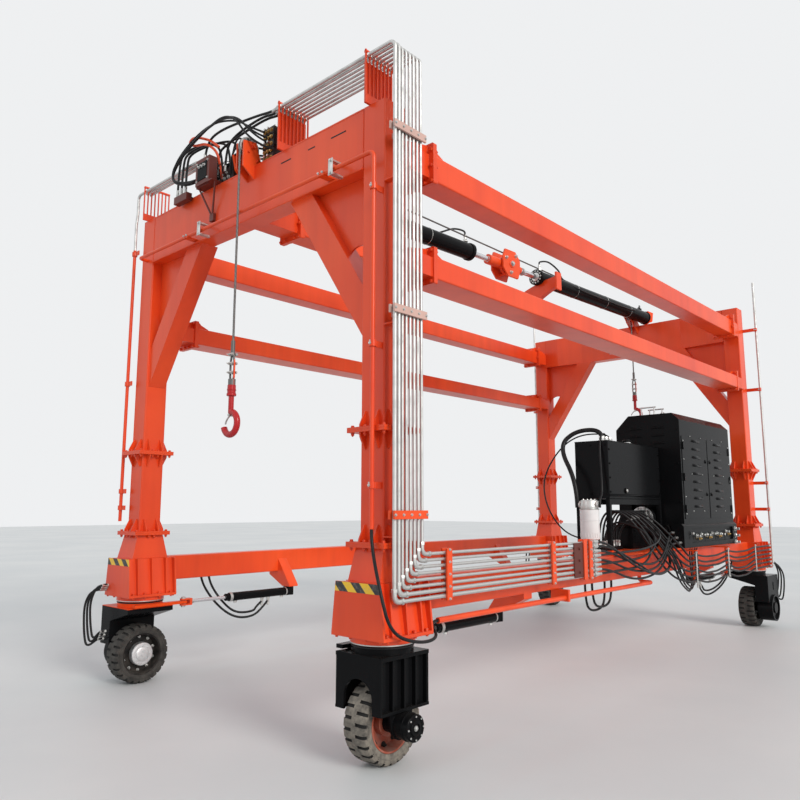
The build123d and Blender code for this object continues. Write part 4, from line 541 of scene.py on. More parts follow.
def joint_bolts():
    """Three bolts on each side of the flanged joints of the legs."""
    for corner, _, _, cx, cy in CORNERS:
        form = Form(f"joint_bolts_{corner}", "orange_paint")
        for z, turn, place in product((1.39, 2.16), range(4), (-0.15, -0.028, 0.028)):
            across, along = column_side(turn)
            bolt_pair(form, Vector((cx, cy, z)) + across * 0.15 + along * place, UP, 0.018, 0.021, 0.007)


def side_beam_bolts():
    upper = ((0.1325, 4.08), (0.1325, 4.205), (0.1325, 4.33), (0.045, 4.36), (0.06, 4.08))
    lower = ((0.125, 3.535), (0.045, 3.535), (0.12, 3.295), (0.04, 3.295))
    legs = (-LEG_X, LEG_X)
    for name, xs, reach, places in (("upper", legs, 3.35, upper), ("mid", legs, 3.35, lower),
                                    ("middle", (0.0,), 3.3, upper)):
        form = Form(f"{name}_beam_bolts", "orange_paint")
        for x, sy, side, (across, z) in product(xs, SIDES, SIDES, places):
            bolt_pair(form, (x + side * across, sy * reach, z), (0, sy, 0), 0.02, 0.022)


def boot_details():
    for corner, _, _, cx, cy in CORNERS:
        form = Form(f"boot_bolts_{corner}", "orange_paint")
        for side, place in product(SIDES, (-0.19, -0.072, 0.072, 0.19)):
            form.nut((cx + side * 0.222, cy + place, BASE_FLOOR + 0.022), UP, 0.024, 0.015)
            form.nut((cx + side * 0.226, cy + place, BASE_FLOOR), DOWN, 0.017, 0.01)
        for side, place in product(SIDES, (-0.2, -0.07, 0.07, 0.2)):
            form.nut((cx + place, cy + side * 0.228, BASE_FLOOR), DOWN, 0.017, 0.01)
        band = Form(f"ring_band_{corner}")
        band.lathe((cx, cy, 0.7602), UP, (*sleeve(0.2155, 0.217, 0.009, 0.0015), (0.21, 0.009), (0.21, 0)),
                   64, True)
        seal = Form(f"ring_seal_{corner}", "seal_rubber", f"fork_{corner}_body")
        seal.lathe((cx, cy, 0.742), UP, sleeve(0.207, 0.2115, 0.014, 0.003), 64, True)


def boot_stripes():
    outline = ((-0.21, -0.062), (0.21, -0.062), (0.202, 0), (-0.202, 0))
    for corner, _, _, cx, cy in CORNERS[:2]:
        form = Form(f"boot_stripes_{corner}", "hazard_film")
        place = placed((cx, cy - 0.24, BOOT_TOP - 0.002), FRONT)
        form.loops(place, [[(x, z, out) for x, z in outline] for out in (0, 0.0012)])


TREAD_COUNT = 24
TREAD_STEPS = (0.0, 0.06, 0.54, 0.60)
SLOT_DEPTH = 0.013
# Half of a tyre's section from the middle outwards: place across, radius, in a slot or not.
TYRE_HALF = ((0.0, 0.2675, 0), (0.018, 0.2675, 0), (0.021, 0.2675, 1), (0.052, 0.2672, 1),
             (0.080, 0.2655, 1), (0.0955, 0.2565, 1), (0.099, 0.2475, 1), (0.0996, 0.244, 0),
             (0.0998, 0.238, 0), (0.0975, 0.2365, 0), (0.0968, 0.226, 0), (0.0990, 0.2245, 0),
             (0.0998, 0.221, 0), (0.0990, 0.2175, 0), (0.0965, 0.2158, 0), (0.0945, 0.201, 0),
             (0.0915, 0.1945, 0), (0.0905, 0.1905, 0))


def tyres():
    """Solid tyres with a staggered row of slots on each shoulder and raised rings on the walls."""
    profile = [(-x, r, -row) for x, r, row in reversed(TYRE_HALF[1:])] + list(TYRE_HALF)
    for corner, _, _, cx, cy in CORNERS:
        kind = "tyre_rubber" if corner == "front_right" else "dark_rubber"
        form = Form(f"tyre_tread_{corner}", kind, f"wheel_{corner}", 32, None, f"tyre_{corner}",
                    ("slot_shade_rubber",))
        rings, hollow = [], set()
        for pitch, phase, step in product(range(TREAD_COUNT), (0, 1), TREAD_STEPS):
            angle = math.tau * (pitch + phase / 2 + step / 2) / TREAD_COUNT
            rings.append([])
            for x, radius, slot in profile:
                deep = slot and step in TREAD_STEPS[1:3] and phase == (slot > 0)
                reach = radius - SLOT_DEPTH if deep else radius
                at = (cx + x, cy + reach * math.cos(angle), AXLE + reach * math.sin(angle))
                rings[-1].append(form.mesh.verts.new(at))
                if deep:
                    hollow.add(rings[-1][-1])
        for low, high in zip(rings, rings[1:] + rings[:1]):
            for n in range(len(profile) - 1):
                around = (low[n], low[n + 1], high[n + 1], high[n])
                # faces inside a slot take the near-black rubber: painted shade in the slots
                form.mesh.faces.new(around).material_index = not hollow.isdisjoint(around)
            form.mesh.faces.new((low[-1], low[0], high[0], high[-1]))


# Turned sections of the wheels' parts: radius and height, with the screws of each kind of hub.
WHEEL_RING = ((0.171, -0.002), (0.171, 0.0035), (0.167, 0.006), (0.164, 0.0035), (0.164, -0.002))
DRIVE_HUB = ((0.096, 0), (0.105, 0.004), (0.105, 0.058), (0.1, 0.064), (0.088, 0.066), (0.087, 0.064),
             (0.064, 0.0655), (0.063, 0.0725), (0.06, 0.0742), (0.022, 0.0742), (0.02, 0.0775),
             (0.004, 0.0775))
DRIVE_SCREWS = ((0.0945, 0.076, 8, 0, 0.011, 0.006), (0.104, 0.042, 4, 0.3, 0.009, 0.005))
PLAIN_HUB = ((0.0565, -0.012), (0.0595, -0.01), (0.0595, 0.002), (0.056, 0.0055), (0.047, 0.0062),
             (0.045, 0.004), (0.03, 0.004), (0.028, 0.0065), (0.012, 0.0065), (0.01, 0.009), (0.002, 0.009))
HUB_PLATE = ((0.088, -0.002), (0.094, 0), (0.094, 0.006), (0.089, 0.0095), (0.0585, 0.0095), (0.0585, -0.002))
PLAIN_SCREWS = ((0.1065, 0.0385, 6, 0, 0.008, 0.005),)
MOTOR_COVER = ((0.084, 0), (0.084, 0.004), (0.079, 0.008), (0.062, 0.008), (0.058, 0.004), (0.05, 0.004),
               (0.046, 0.014), (0.03, 0.016), (0.028, 0.008), (0.004, 0.008))


def wheel_faces():
    """Studs, rings and hub caps on the inner sides of the wheels, and motor covers outside two of them."""
    for corner, sx, _, cx, cy in CORNERS:
        driven = corner in DRIVE_CORNERS
        wheel, fork = f"wheel_{corner}", f"fork_{corner}_body"
        inward, outward = Vector((-sx, 0, 0)), Vector((sx, 0, 0))
        centre = Vector((cx, cy, AXLE))
        studs = Form(f"wheel_studs_{corner}", "bright_steel" if driven else "rim_paint", wheel)
        for at in round_about(centre, 0.152, 10, WHEEL_PLANE, 0.5):
            studs.nut(at + inward * 0.014, inward, 0.019, 0.012, 0.008)
            studs.nut(at - inward * 0.0085, outward, 0.026, 0.014, 0.01)
        ring = Form(f"wheel_ring_{corner}", "rim_paint", wheel)
        ring.lathe(centre + inward * 0.0135, inward, WHEEL_RING, 48, True)
        cap = Form(f"hub_cap_{corner}", "hub_silver", wheel)
        if driven:
            cap.lathe(centre + inward * 0.03, inward, DRIVE_HUB, 56)
        else:
            cap.lathe(centre + inward * 0.102, inward, PLAIN_HUB, 40)
            cap.lathe(centre + inward * 0.0535, inward, HUB_PLATE, 48, True)
            motor = Form(f"motor_cover_{corner}", "black_paint", fork)
            face = centre + outward * 0.284
            motor.lathe(face, outward, MOTOR_COVER, 48)
            motor.lathe(face - outward * 0.05, outward, sleeve(0.082, 0.0885, 0.014), 48, True)
            bolts = Form(f"motor_screws_{corner}", body=fork)
            face += outward * 0.008
            bolts.nuts(round_about(face, 0.07, 8, WHEEL_PLANE), outward, 0.011, 0.006, washer=False)
            bolts.nut(face, outward, 0.022, 0.008)
        for out, reach, count, phase, *size in DRIVE_SCREWS if driven else PLAIN_SCREWS:
            places = round_about(centre + inward * out, reach, count, WHEEL_PLANE, phase)
            cap.nuts(places, inward, *size, washer=False)


ELBOW = ((0, 0.064), (0, 0.035), (0.01, 0.01), (0.035, 0), (0.064, 0))


def pipe_fittings():
    """Elbow sleeves at the foot of the leg, union nuts at the pipes' ends and along the rack."""
    form = Form("pipe_unions", "zinc_pipe")
    for _, radius, x, y, low, top in PIPES:
        size = (radius + 0.0055) * 2
        elbow = [(x, y + side, low + rise) for side, rise in ELBOW]
        form.bar(smooth_path(elbow, 0.012), radius + 0.0035, 12)
        form.nut((x, y, low + 0.062), UP, size, 0.022, washer=False)
        for along, across, height in ((y + 0.062, size, 0.022), (-1.262, size + 0.004, 0.026),
                                      (-1.196, 0.03, 0.02)):
            form.nut((x, along, low), BACK, across, height, washer=False)
        form.nut((0.512, y, top), RIGHT, size, 0.026, washer=False)


def clamp_bolts():
    form = Form("clamp_bolts")
    x = PIPE_X + 0.0283
    for place in BETWEEN_PIPES:
        form.nuts([(x, PIPE_Y + 0.039 * place, z) for z in (1.588, 2.958, 4.278)], RIGHT, 0.013, 0.008)
        form.nuts([(x, y, PIPE_LOW + 0.041 * place) for y in (-3.36, -1.98, -1.35)], RIGHT, 0.013, 0.008)


def louvre_hood(form, at, along, across, length=0.262, height=0.03, rise=0.009):
    """Pressed louvre: a low half-round hood with sloping ends over a slot, open below."""
    place = placed(at, along, across)
    end, half = length / 2, length / 2 - rise * 0.9
    rings = []
    for n in range(7):
        y, out = height * (0.5 - n / 6), rise * math.sin(math.pi * min(1.0, n / 6 * 0.62 + 0.02)) ** 0.8
        row = ((-end, y, -0.001), (-half, y, out), (half, y, out), (end, y, -0.001))
        rings.append([form.mesh.verts.new(place @ Vector(p)) for p in row])
    for low, high in zip(rings, rings[1:]):
        for n in range(3):
            form.mesh.faces.new((low[n], low[n + 1], high[n + 1], high[n]))
    form.mesh.faces.new(rings[-1])
    form.mesh.faces.new(rings[0][::-1])


def enclosure_details():
    """Louvres, hinges, locks and seams of the doors, and the lifting eyes."""
    hoods = Form("louvre_hoods", "black_paint", sharp=50)
    screws = Form("door_screws")
    doors = Form("door_fittings", "black_paint")
    middle = (PACK_FRONT + PACK_REAR) / 2
    for side, x in PACK_FACES:
        out = (side, 0, 0)
        for y in (middle - 0.365, middle + 0.365):
            for row in range(9):
                louvre_hood(hoods, (x, y, 1.65 + 0.098 * row), out, (0, side, 0))
            screws.nuts(product((x,), (y - 0.17, y + 0.17), (1.592, 2.032, 2.484)), out, 0.009, 0.004)
        for end, z in product((-1, 1), (1.62, 1.99, 2.36)):
            y = (PACK_FRONT + 0.058, PACK_REAR - 0.058)[end > 0]
            doors.bar([(x + side * 0.006, y, z + rise) for rise in (-0.045, -0.001, 0.001, 0.045)], 0.008, 12)
            doors.slab((x - side * 0.001, y - end * 0.022, z), (0.034, 0.07, 0.005), 0.0015, out)
        for y, z in product((middle - 0.075, middle + 0.075), (1.8, 2.2)):
            doors.lathe((x, y, z), out, ((0.021, 0), (0.021, 0.004), (0.018, 0.007), (0.010, 0.007),
                                         (0.009, 0.004), (0.001, 0.004)), 24)
            doors.slab((x + side * 0.004, y, z - 0.012), (0.007, 0.024, 0.009), 0.0015, out)
        seam = Form(f"door_gap_{'outer' if side > 0 else 'inner'}", "seal_rubber")
        seam.slab((x - side * 0.0062, middle, 1.99), (0.016, 0.985, 0.0014), 0.0004, out)
    for x, row in product((1.2205, 1.4995), range(3)):
        louvre_hood(hoods, (x, PACK_FRONT, PACK_TOP - 0.161 - 0.092 * row), FRONT, RIGHT, 0.167)
    edge = product((PACK_FACES[0][1],), (PACK_FRONT + 0.075, PACK_REAR - 0.075),
                   (1.56, 1.76, 1.98, 2.2, 2.42))
    screws.nuts(edge, RIGHT, 0.011, 0.005)
    doors.nuts(product((1.0, 1.72), (PACK_FRONT,), (1.25, 1.7, 2.15, 2.55)), FRONT, 0.014, 0.007)
    eyes = Form("lifting_eyes")
    for y in (PACK_FRONT + 0.5, PACK_REAR - 0.3):
        foot = ((0.03, 0), (0.03, 0.006), (0.014, 0.012), (0.012, 0.03))
        eyes.lathe((1.36, y, PACK_TOP - 0.001), UP, foot, 20)
        eyes.bar(round_about((1.36, y, PACK_TOP + 0.05), 0.026, 20, shut=True), 0.007, 8)


def skirt_valves():
    """Ball valves, plugs and levers in the recess of the enclosure's skirt."""
    steel = Form("skirt_fittings")
    brass = Form("skirt_valves", "brass")
    levers = Form("skirt_levers", "black_paint")
    ends = Form("skirt_end_fitting")
    x = PACK_OUTER + 0.005
    for n, (y, z) in enumerate(((1.26, 1.335), (1.47, 1.30), (1.62, 1.31), (1.80, 1.305), (1.97, 1.315),
                                (2.14, 1.31), (2.30, 1.30), (2.46, 1.33))):
        steel.nut((x, y, z), RIGHT, 0.034, 0.016)
        steel.lathe((x + 0.018, y, z), RIGHT, nozzle(0.012, 0.016, 0.012, 0.03, (0.009, 0.034)), 16)
        if n % 2:
            brass.nut((x + 0.012, y + 0.055, z - 0.03), RIGHT, 0.026, 0.02)
            brass.lathe((x + 0.03, y + 0.055, z - 0.03), RIGHT, ((0.009, 0), (0.009, 0.012), (0.006, 0.015)),
                        14)
        else:
            levers.slab((x + 0.044, y, z - 0.07), (0.005, 0.016, 0.1))
            steel.nut((x + 0.046, y, z), RIGHT, 0.014, 0.008, washer=False)
    steel.lathe((x, 1.18, 1.25), RIGHT, ((0.052, 0), (0.052, 0.01), (0.045, 0.014), (0.038, 0.01),
                                         (0.012, 0.01), (0.01, 0.018)), 28)
    for z in (1.36, 1.275, 1.19):
        ends.nut((PACK_OUTER + 0.026, PACK_REAR - 0.05, z), RIGHT, 0.04, 0.02)
        ends.lathe((PACK_OUTER + 0.044, PACK_REAR - 0.05, z), RIGHT,
                   nozzle(0.014, 0.017, 0.02, 0.04, (0.01, 0.043)), 16)


def tank_details():
    trim = Form("tank_trim", "black_paint")
    trim.nuts(product((1.5,), (-0.16, 1.08), (1.80, 1.95, 2.1, 2.25)), RIGHT, 0.016, 0.008)
    trim.nuts(product((1.14, 1.3, 1.47), (-0.195,), (1.78, 2.3)), FRONT, 0.016, 0.008)
    x, y = 1.39, 0.505
    trim.lathe((x, y, TANK_TOP + 0.0445), UP, ((0.049, -0.02), (0.052, -0.018), (0.052, 0.0), (0.044, 0.007),
                                               (0.02, 0.009), (0.002, 0.009)), 36)
    for at in round_about((x, y, TANK_TOP + 0.0255), 0.0525, 12, FLAT):
        trim.bar([at + Vector((0, 0, rise)) for rise in (0, 0.009, 0.018)], 0.003, 6)
    trim.nuts(round_about((x, y, TANK_TOP + 0.01), 0.056, 6, FLAT, 1.8 / math.tau), UP, 0.01, 0.006)
    trim.slab((1.5, 0.46, 1.765), (1.3, 0.03, 0.006), 0.0015, RIGHT)
    trim.bead((1.1125, -0.195, 2.343), (1.4975, -0.195, 2.343), 0.004)
    trim.bead((1.5, -0.19, 2.343), (1.5, 1.11, 2.343), 0.004)
    fittings = Form("tank_fittings")
    for y, size in ((-0.1, 0.058), (-0.01, 0.036), (0.08, 0.028)):
        fittings.nut((x, y, TANK_TOP + 0.0335), UP, size, 0.024, washer=False)
        flange = ((0.042, 0), (0.042, 0.007), (0.0395, 0.009), (0.0305, 0.009))
        fittings.lathe((x, y, TANK_TOP - 0.0005), UP, flange, 28)
        screws = round_about((x, y, TANK_TOP + 0.007), 0.0365, 6, FLAT)
        fittings.nuts(screws, UP, 0.006, 0.004, washer=False)
    fittings.nut((1.5005, 0.2, 1.816), RIGHT, 0.032, 0.016)


def pump_details():
    """Flange bolts and port of the pump, fins of the engine, head and grips of the filter."""
    form = Form("pump_bolts")
    x, y, z = 1.335, 0.934, 1.516
    form.nuts(round_about((x, y, z), 0.112, 8, phase=0.5), FRONT, 0.02, 0.012)
    form.lathe((x, y - 0.001, z), FRONT, ((0.082, 0), (0.082, 0.01), (0.077, 0.014), (0.070, 0.014)), 40)
    form.lathe((x, y - 0.17, z), FRONT, ((0.05, 0), (0.05, 0.014), (0.04, 0.018), (0.022, 0.018),
                                         (0.02, 0.03), (0.004, 0.03)), 28)
    fins = Form("engine_fins", "black_paint")
    for n in range(9):
        fins.slab((1.285, 0.42 + 0.042 * n, 1.41), (0.3, 0.012, 0.03), 0.003)
    fins.lathe((1.565, 1.02, 1.376), FRONT, ((0.064, 0), (0.066, 0.004), (0.066, 0.012), (0.063, 0.016)), 32)
    head = Form("filter_head")
    x, y = 1.36, -0.378
    head.lathe((x, y, 1.6165), UP, ((0.0985, -0.006), (0.1005, -0.003), (0.1005, 0.004), (0.096, 0.007),
                                    (0.087, 0.008)), 40)
    head.lathe((x, y, 1.6205), UP, ((0.0872, 0), (0.0885, 0.004), (0.0885, 0.03), (0.0875, 0.034),
                                    (0.0875, 0.078), (0.082, 0.092), (0.05, 0.0925), (0.004, 0.0925)), 40)
    for side in SIDES:
        head.nut((x + side * 0.084, y, 1.6685), (side, 0, 0), 0.07, 0.02, washer=False)
    head.nuts(round_about((x, y, 1.713), 0.06, 4, FLAT, 0.5), UP, 0.014, 0.009)
    grips = Form("filter_grips", "filter_white")
    for at in round_about((x, y, 0), 0.0975, 24, FLAT):
        grips.bar([at + Vector((0, 0, z)) for z in (1.33, 1.345, 1.36, 1.375)], 0.004, 6)
    grips.lathe((x, y, 1.496), UP, sleeve(0.0975, 0.0995, 0.008), 40, True)


def ferrule(form, at, along, radius=0.011):
    """Pressed sleeve and union nut at the end of a hose."""
    at, along = Vector(at), Vector(along)
    inner, outer = radius * 1.02, radius * 1.32
    form.lathe(at, along, ((inner, -0.004), (outer, -0.002), (outer, 0.0126), (outer * 0.93, 0.0153),
                           (outer, 0.0189), (outer, 0.045), (inner, 0.047)), 16, True)
    form.nut(at - along * 0.018, along, radius * 2.5, 0.02, washer=False)


def hose_fittings():
    form = Form("hose_ferrules")
    for n, z in enumerate(BUNDLE):
        ferrule(form, (1.305, -0.0875 + 0.085 * n, 1.234), UP)
        ferrule(form, (PIPES[n][2], -1.176, PIPES[n][4]), BACK)
        ferrule(form, (BUNDLE_X, 3.84, z), FRONT)
        form.nut((BUNDLE_X, 3.87, z), BACK, 0.028, 0.02)
        form.lathe((BUNDLE_X, 3.888, z), BACK, nozzle(0.011, 0.014, 0.012, 0.03, (0.01, 0.033)), 14)
    for n in range(3):
        ferrule(form, (1.74 - 0.04 * n, 1.022, 1.236 + 0.055 * n), FRONT)
        ferrule(form, (1.337, -0.025 + 0.17 * n, 1.234), UP)


def power_hoses():
    """The bundles at the power pack as smooth slack curves, in place of the straight runs of the node."""
    form = Form("smooth_pack_hoses", "hose_rubber", instead="pack_hoses")
    x = BUNDLE_X
    for n, z in enumerate(BUNDLE):
        y = -0.0875 + 0.085 * n
        route = [(1.305, y, 1.216), (1.305, y, 1.6), (1.61, y + 0.09, 1.596), (x, y + 0.36, z + 0.1),
                 (x, 0.9, z - 0.02)]
        for hanger in HANGERS:
            route += [(x, hanger - 0.04, z), (x, hanger + 0.04, z)]
            if hanger != HANGERS[-1]:
                low = z - 0.05 + 0.004 * n - random.uniform(-0.01, 0.02)
                route += [(x + random.uniform(-0.008, 0.008), hanger + 0.3 + 0.2 * t, low) for t in range(3)]
        form.run([*route, (x, 3.78, z), (x, 3.86, z)])
    for n in range(3):
        start, low, high, end = PIPES[2 * n + 1][2], PIPES[2 * n + 1][4], 1.236 + 0.055 * n, 1.74 - 0.04 * n
        form.run([(start, -1.196, low), (start, -1.0, low), (start + 0.012, -0.45, low - 0.16),
                  (start - 0.01, 0.22, 0.97 + 0.04 * n), (1.805, 0.585, high), (end, 0.88, high),
                  (end, 1.04, high)])
        start, low, end = PIPES[2 * n][2], PIPES[2 * n][4], -0.025 + 0.17 * n
        form.run([(start, -1.196, low), (start, -1.05, low), (start + 0.025, -0.075 + 0.06 * n, low + 0.02),
                  (start - 0.06, end + 0.12, 1.406), (1.337, end, 1.526), (1.337, end, 1.216)])
    for n in range(2):
        low = PIPES[6 + n][4]
        form.run([(1.848, -1.2, low), (1.848, -1.02, low), (1.875, -0.5, 1.13 - 0.06 * n),
                  (1.885, 0.05, 0.93), (1.84, 0.55, 1.02), (1.66, 0.66, 1.36), (1.44, 0.72, 1.46),
                  (1.33, 0.74 + 0.05 * n, 1.4)], slack=0.01)
    for n in range(4):
        out, back = 0.07 * n, 0.05 * n
        form.run([(1.30 + out, 0.62, 1.43), (1.32 + out, 0.52, 1.52), (1.62, 0.38 + back, 1.44),
                  (1.87, 0.42 + out, 1.12), (1.88, 0.56 + 0.06 * n, 0.86 + 0.01 * n),
                  (1.87, 0.8 + back, 0.73 + 0.02 * n), (1.82, 1.05 + back, 0.7 + 0.03 * n),
                  (1.775, 1.24 + 0.06 * n, 0.82), (1.75, 1.26 + out, 1.0), (1.75, 1.26 + out, 1.19)], 0.0095,
                 10, 0.01)
    for n in range(2):
        x, y, low = 1.635 + 0.04 * n, -1.035 + 0.06 * n, 0.72 + 0.03 * n
        dip = ((0, 0.93), (0, low + 0.08), (0.06, low - 0.05), (0.33, low - 0.05), (0.39, low + 0.08),
               (0.39, 0.93))
        form.run([(x, y + along, z) for along, z in dip])
    form.run([(1.39, -0.1, 2.38), (1.39, -0.1, 2.475), (1.1, -0.15, 2.475), (0.95, -0.255, 2.3),
              (1.224, -0.378, 1.9), (1.224, -0.378, 1.6335)], 0.024, 16)
    form.run([(1.39, -0.01, 2.38), (1.39, -0.01, 2.45), (1.42, -0.23, 2.38), (1.45, -0.24, 1.786),
              (1.4824, -0.378, 1.73), (1.4824, -0.378, 1.6335)], 0.0104)
    form.run([(1.39, 0.08, 2.38), (1.39, 0.08, 2.45), (1.05, -0.175, 2.42), (0.82, -0.378, 2.016),
              (0.83, -0.378, 1.666), (1.051, -0.378, 1.36), (1.213, -0.378, 1.326)], 0.008, 10)


def beam_hoses():
    """Hoses over the front beam and the one down to the tube under the sill, as smooth curves."""
    form = Form("smooth_beam_hoses", "hose_rubber", instead="front_hoses")
    for y in (-3.773, -3.734):
        form.run([(0.51, y, 4.927), (0.43, y, 4.927), (0.43, y, 4.705), (0.36, y, 4.705)], step=0.02)
    for n, (x, y, z) in enumerate(((-0.53, -3.9145, 4.81), (-0.375, -3.796, 4.691), (-0.505, -3.796, 4.691))):
        start = PIPES[n][3]
        form.run([(0.51, start, 4.93), (0.43, start, 4.93), (0.225, start, 4.975),
                  (x + 0.13, y, 5.04 - 0.04 * n), (x, y, 4.91), (x, y, z)])
    for n in range(3):
        x, left, down = -0.56 + 0.13 * n, -0.97 + 0.07 * n, 0.03 * n
        form.run([(x, -3.704, 4.691), (x, -3.704, 4.9), (x - 0.04, -3.75, 5.09 - down),
                  (left + 0.02, -3.9, 5.06 - down), (left, -3.925, 4.85), (left, -3.925, 4.582)])
    for n in range(4):
        end = -0.55 + 0.04 * n
        form.run([(0.25 + 0.035 * n, -3.822, 4.84 - 0.062 * n), (0.23, -3.93, 4.86 - 0.05 * n),
                  (0.0, -3.985, 5.0 + 0.02 * n), (-0.45, -3.99, 5.09 - 0.02 * n),
                  (-0.9 - 0.03 * n, -3.98, 4.94 - 0.03 * n), (-0.99, -3.97, 4.72),
                  (-0.8 + 0.03 * n, -3.95, 4.63), (-0.62, -3.9, 4.68), (end, -3.83, 4.66),
                  (end, -3.81, 4.6)], 0.009, 10, 0.02)
    for n in range(3):
        form.run([(0.16, -3.75, 4.62 + 0.062 * n), (0.02, -3.82, 4.62 + 0.09 * n),
                  (-0.12, -3.86, 4.78 + 0.08 * n), (-0.22, -3.84, 4.72), (-0.24 - 0.03 * n, -3.8, 4.6)],
                 0.009, 10, 0.012)
    form.run([(1.703, -3.95, 1.495), (1.703, -3.95, 1.39), (1.86, -4.03, 1.12), (1.905, -3.98, 0.86),
              (1.9, -3.7, 0.77), (1.87, -3.47, 0.775), (1.75, -3.43, 0.86), (1.75, -3.34, 0.86)])


def hanger_details():
    """Clips, clamp bars and plates where the hose bundle passes its hangers."""
    straps = Form("hanger_straps")
    plates = Form("hanger_plates")
    for y in HANGERS:
        for z in BUNDLE:
            straps.bar(round_about((BUNDLE_X, y, z), 0.0135, 14, shut=True), 0.003, 6)
        if y != HANGERS[-1]:
            straps.slab((1.866, y, 0.79), (0.005, 0.03, 0.34), 0.001)
            straps.nuts([(1.8685, y, z) for z in (0.803, 1.117)], RIGHT, 0.014, 0.008)
        plates.slab((1.8935, y, 0.79), (0.004, 0.034, 0.355), 0.001)
        plates.nuts([(1.8955, y, z) for z in (0.803, 0.968, 1.133)], RIGHT, 0.016, 0.008)


def lift_point(y, x=0.0, z=0.0):
    """Point at a place along the slanted axis of the lift cylinders, moved sideways and up."""
    return Vector((LIFT_X + LIFT_SLANT * y + x, y, LIFT_HEIGHT + z))


# Lift hoses: moves from the port over the arch, then places along the cylinder, sideways and up.
REAR_ARCH = ((0, 0, 0), (0, 0.02, 0.05), (0.06, 0.14, 0.06), (0.1, 0.32, -0.02), (0.07, 0.5, -0.1))
REAR_RUN = ((1.6, 0.105), (2.4, 0.106, -0.01), (3.1, 0.106), (3.34, 0.08, 0.09), (3.46, 0.03, 0.15),
            (3.53, 0, 0.16), (3.53, 0, 0.12))
FRONT_ARCH = ((0, 0, 0), (0, -0.02, 0.05), (-0.06, -0.14, 0.06), (-0.1, -0.34, -0.03))
FRONT_RUN = ((-1.4, -0.107), (-2.2, -0.107), (-3.0, -0.107), (-3.35, -0.16, 0.02))
LIFT_STRAPS = (1.6, 2.4, 3.1, -1.4, -2.2, -3.0)


def lift_details():
    steel = Form("lift_fittings")
    heads = Form("lift_cylinder_heads", "black_paint")
    cheeks = Form("lift_bolts", "orange_paint")
    along = Vector((LIFT_SLANT, 1, 0)).normalized()
    across = along.cross(Vector(UP)).normalized()
    for y, sign in ((-0.65, 1), (0.69, -1)):
        end, out = lift_point(y), along * sign
        heads.lathe(end + out * 0.001, out, ((0.1, -0.04), (0.1055, -0.038), (0.1055, -0.002), (0.102, 0.002),
                                             (0.06, 0.003)), 40)
        steel.lathe(end + out * 0.003, out, ((0.058, 0), (0.058, 0.006), (0.052, 0.012), (0.0345, 0.014)), 32)
        steel.nuts(round_about(end + out * 0.0025, 0.078, 12, (across, UP)), out, 0.016, 0.01)
        steel.nut(lift_point(y - sign * 0.09, z=0.1065), UP, 0.044, 0.026)
        steel.lathe(lift_point(y - sign * 0.09, z=0.134), UP, nozzle(0.014, 0.018, 0.03, 0.055), 18)
    for side in SIDES:
        out = across * side
        face = lift_point(0.04) + out * 0.1
        cheeks.lathe(face, out, ((0.05, -0.001), (0.05, 0.006), (0.046, 0.009), (0.0305, 0.009)), 28)
        steel.nut(face + out * 0.012, out, 0.042, 0.018)
        for y, z in ((-0.1156, 0.0578), (0.081, 0.1156), (-0.023, -0.1156)):
            steel.nut(face + along * y + Vector((0, 0, z)), out, 0.03, 0.02, 0.008)
    rods = Form("lift_rod_scrapers")
    for y in (-0.32, 0.36):
        rods.lathe(lift_point(y), along, sleeve(0.0345, 0.05, 0.034, 0.004), 28, True)
    hoses = Form("lift_hoses", "hose_rubber")
    rear = [lift_point(0.78, z=0.185) + Vector(move) for move in REAR_ARCH]
    rear += [lift_point(*place) for place in REAR_RUN]
    fore = [lift_point(-0.74, z=0.185) + Vector(move) for move in FRONT_ARCH]
    fore += [lift_point(*place) for place in FRONT_RUN]
    fore += [(-0.2, -3.62, 4.76), (-0.24, -3.70, 4.80), (-0.26, -3.745, 4.75), (-0.26, -3.75, 4.69)]
    for route in (rear, fore):
        hoses.bar(smooth_path(route), 0.011)
    straps = Form("lift_hose_straps")
    for y in LIFT_STRAPS:
        straps.bar(round_about(lift_point(y), 0.0965, 40, (across, UP), shut=True), 0.0025, 6)


LATCH = ((0, 0.068), (-0.03, 0.05), (-0.06, 0.02), (-0.07, -0.004))
STRANDS, LAY_LENGTH = 6, 0.11


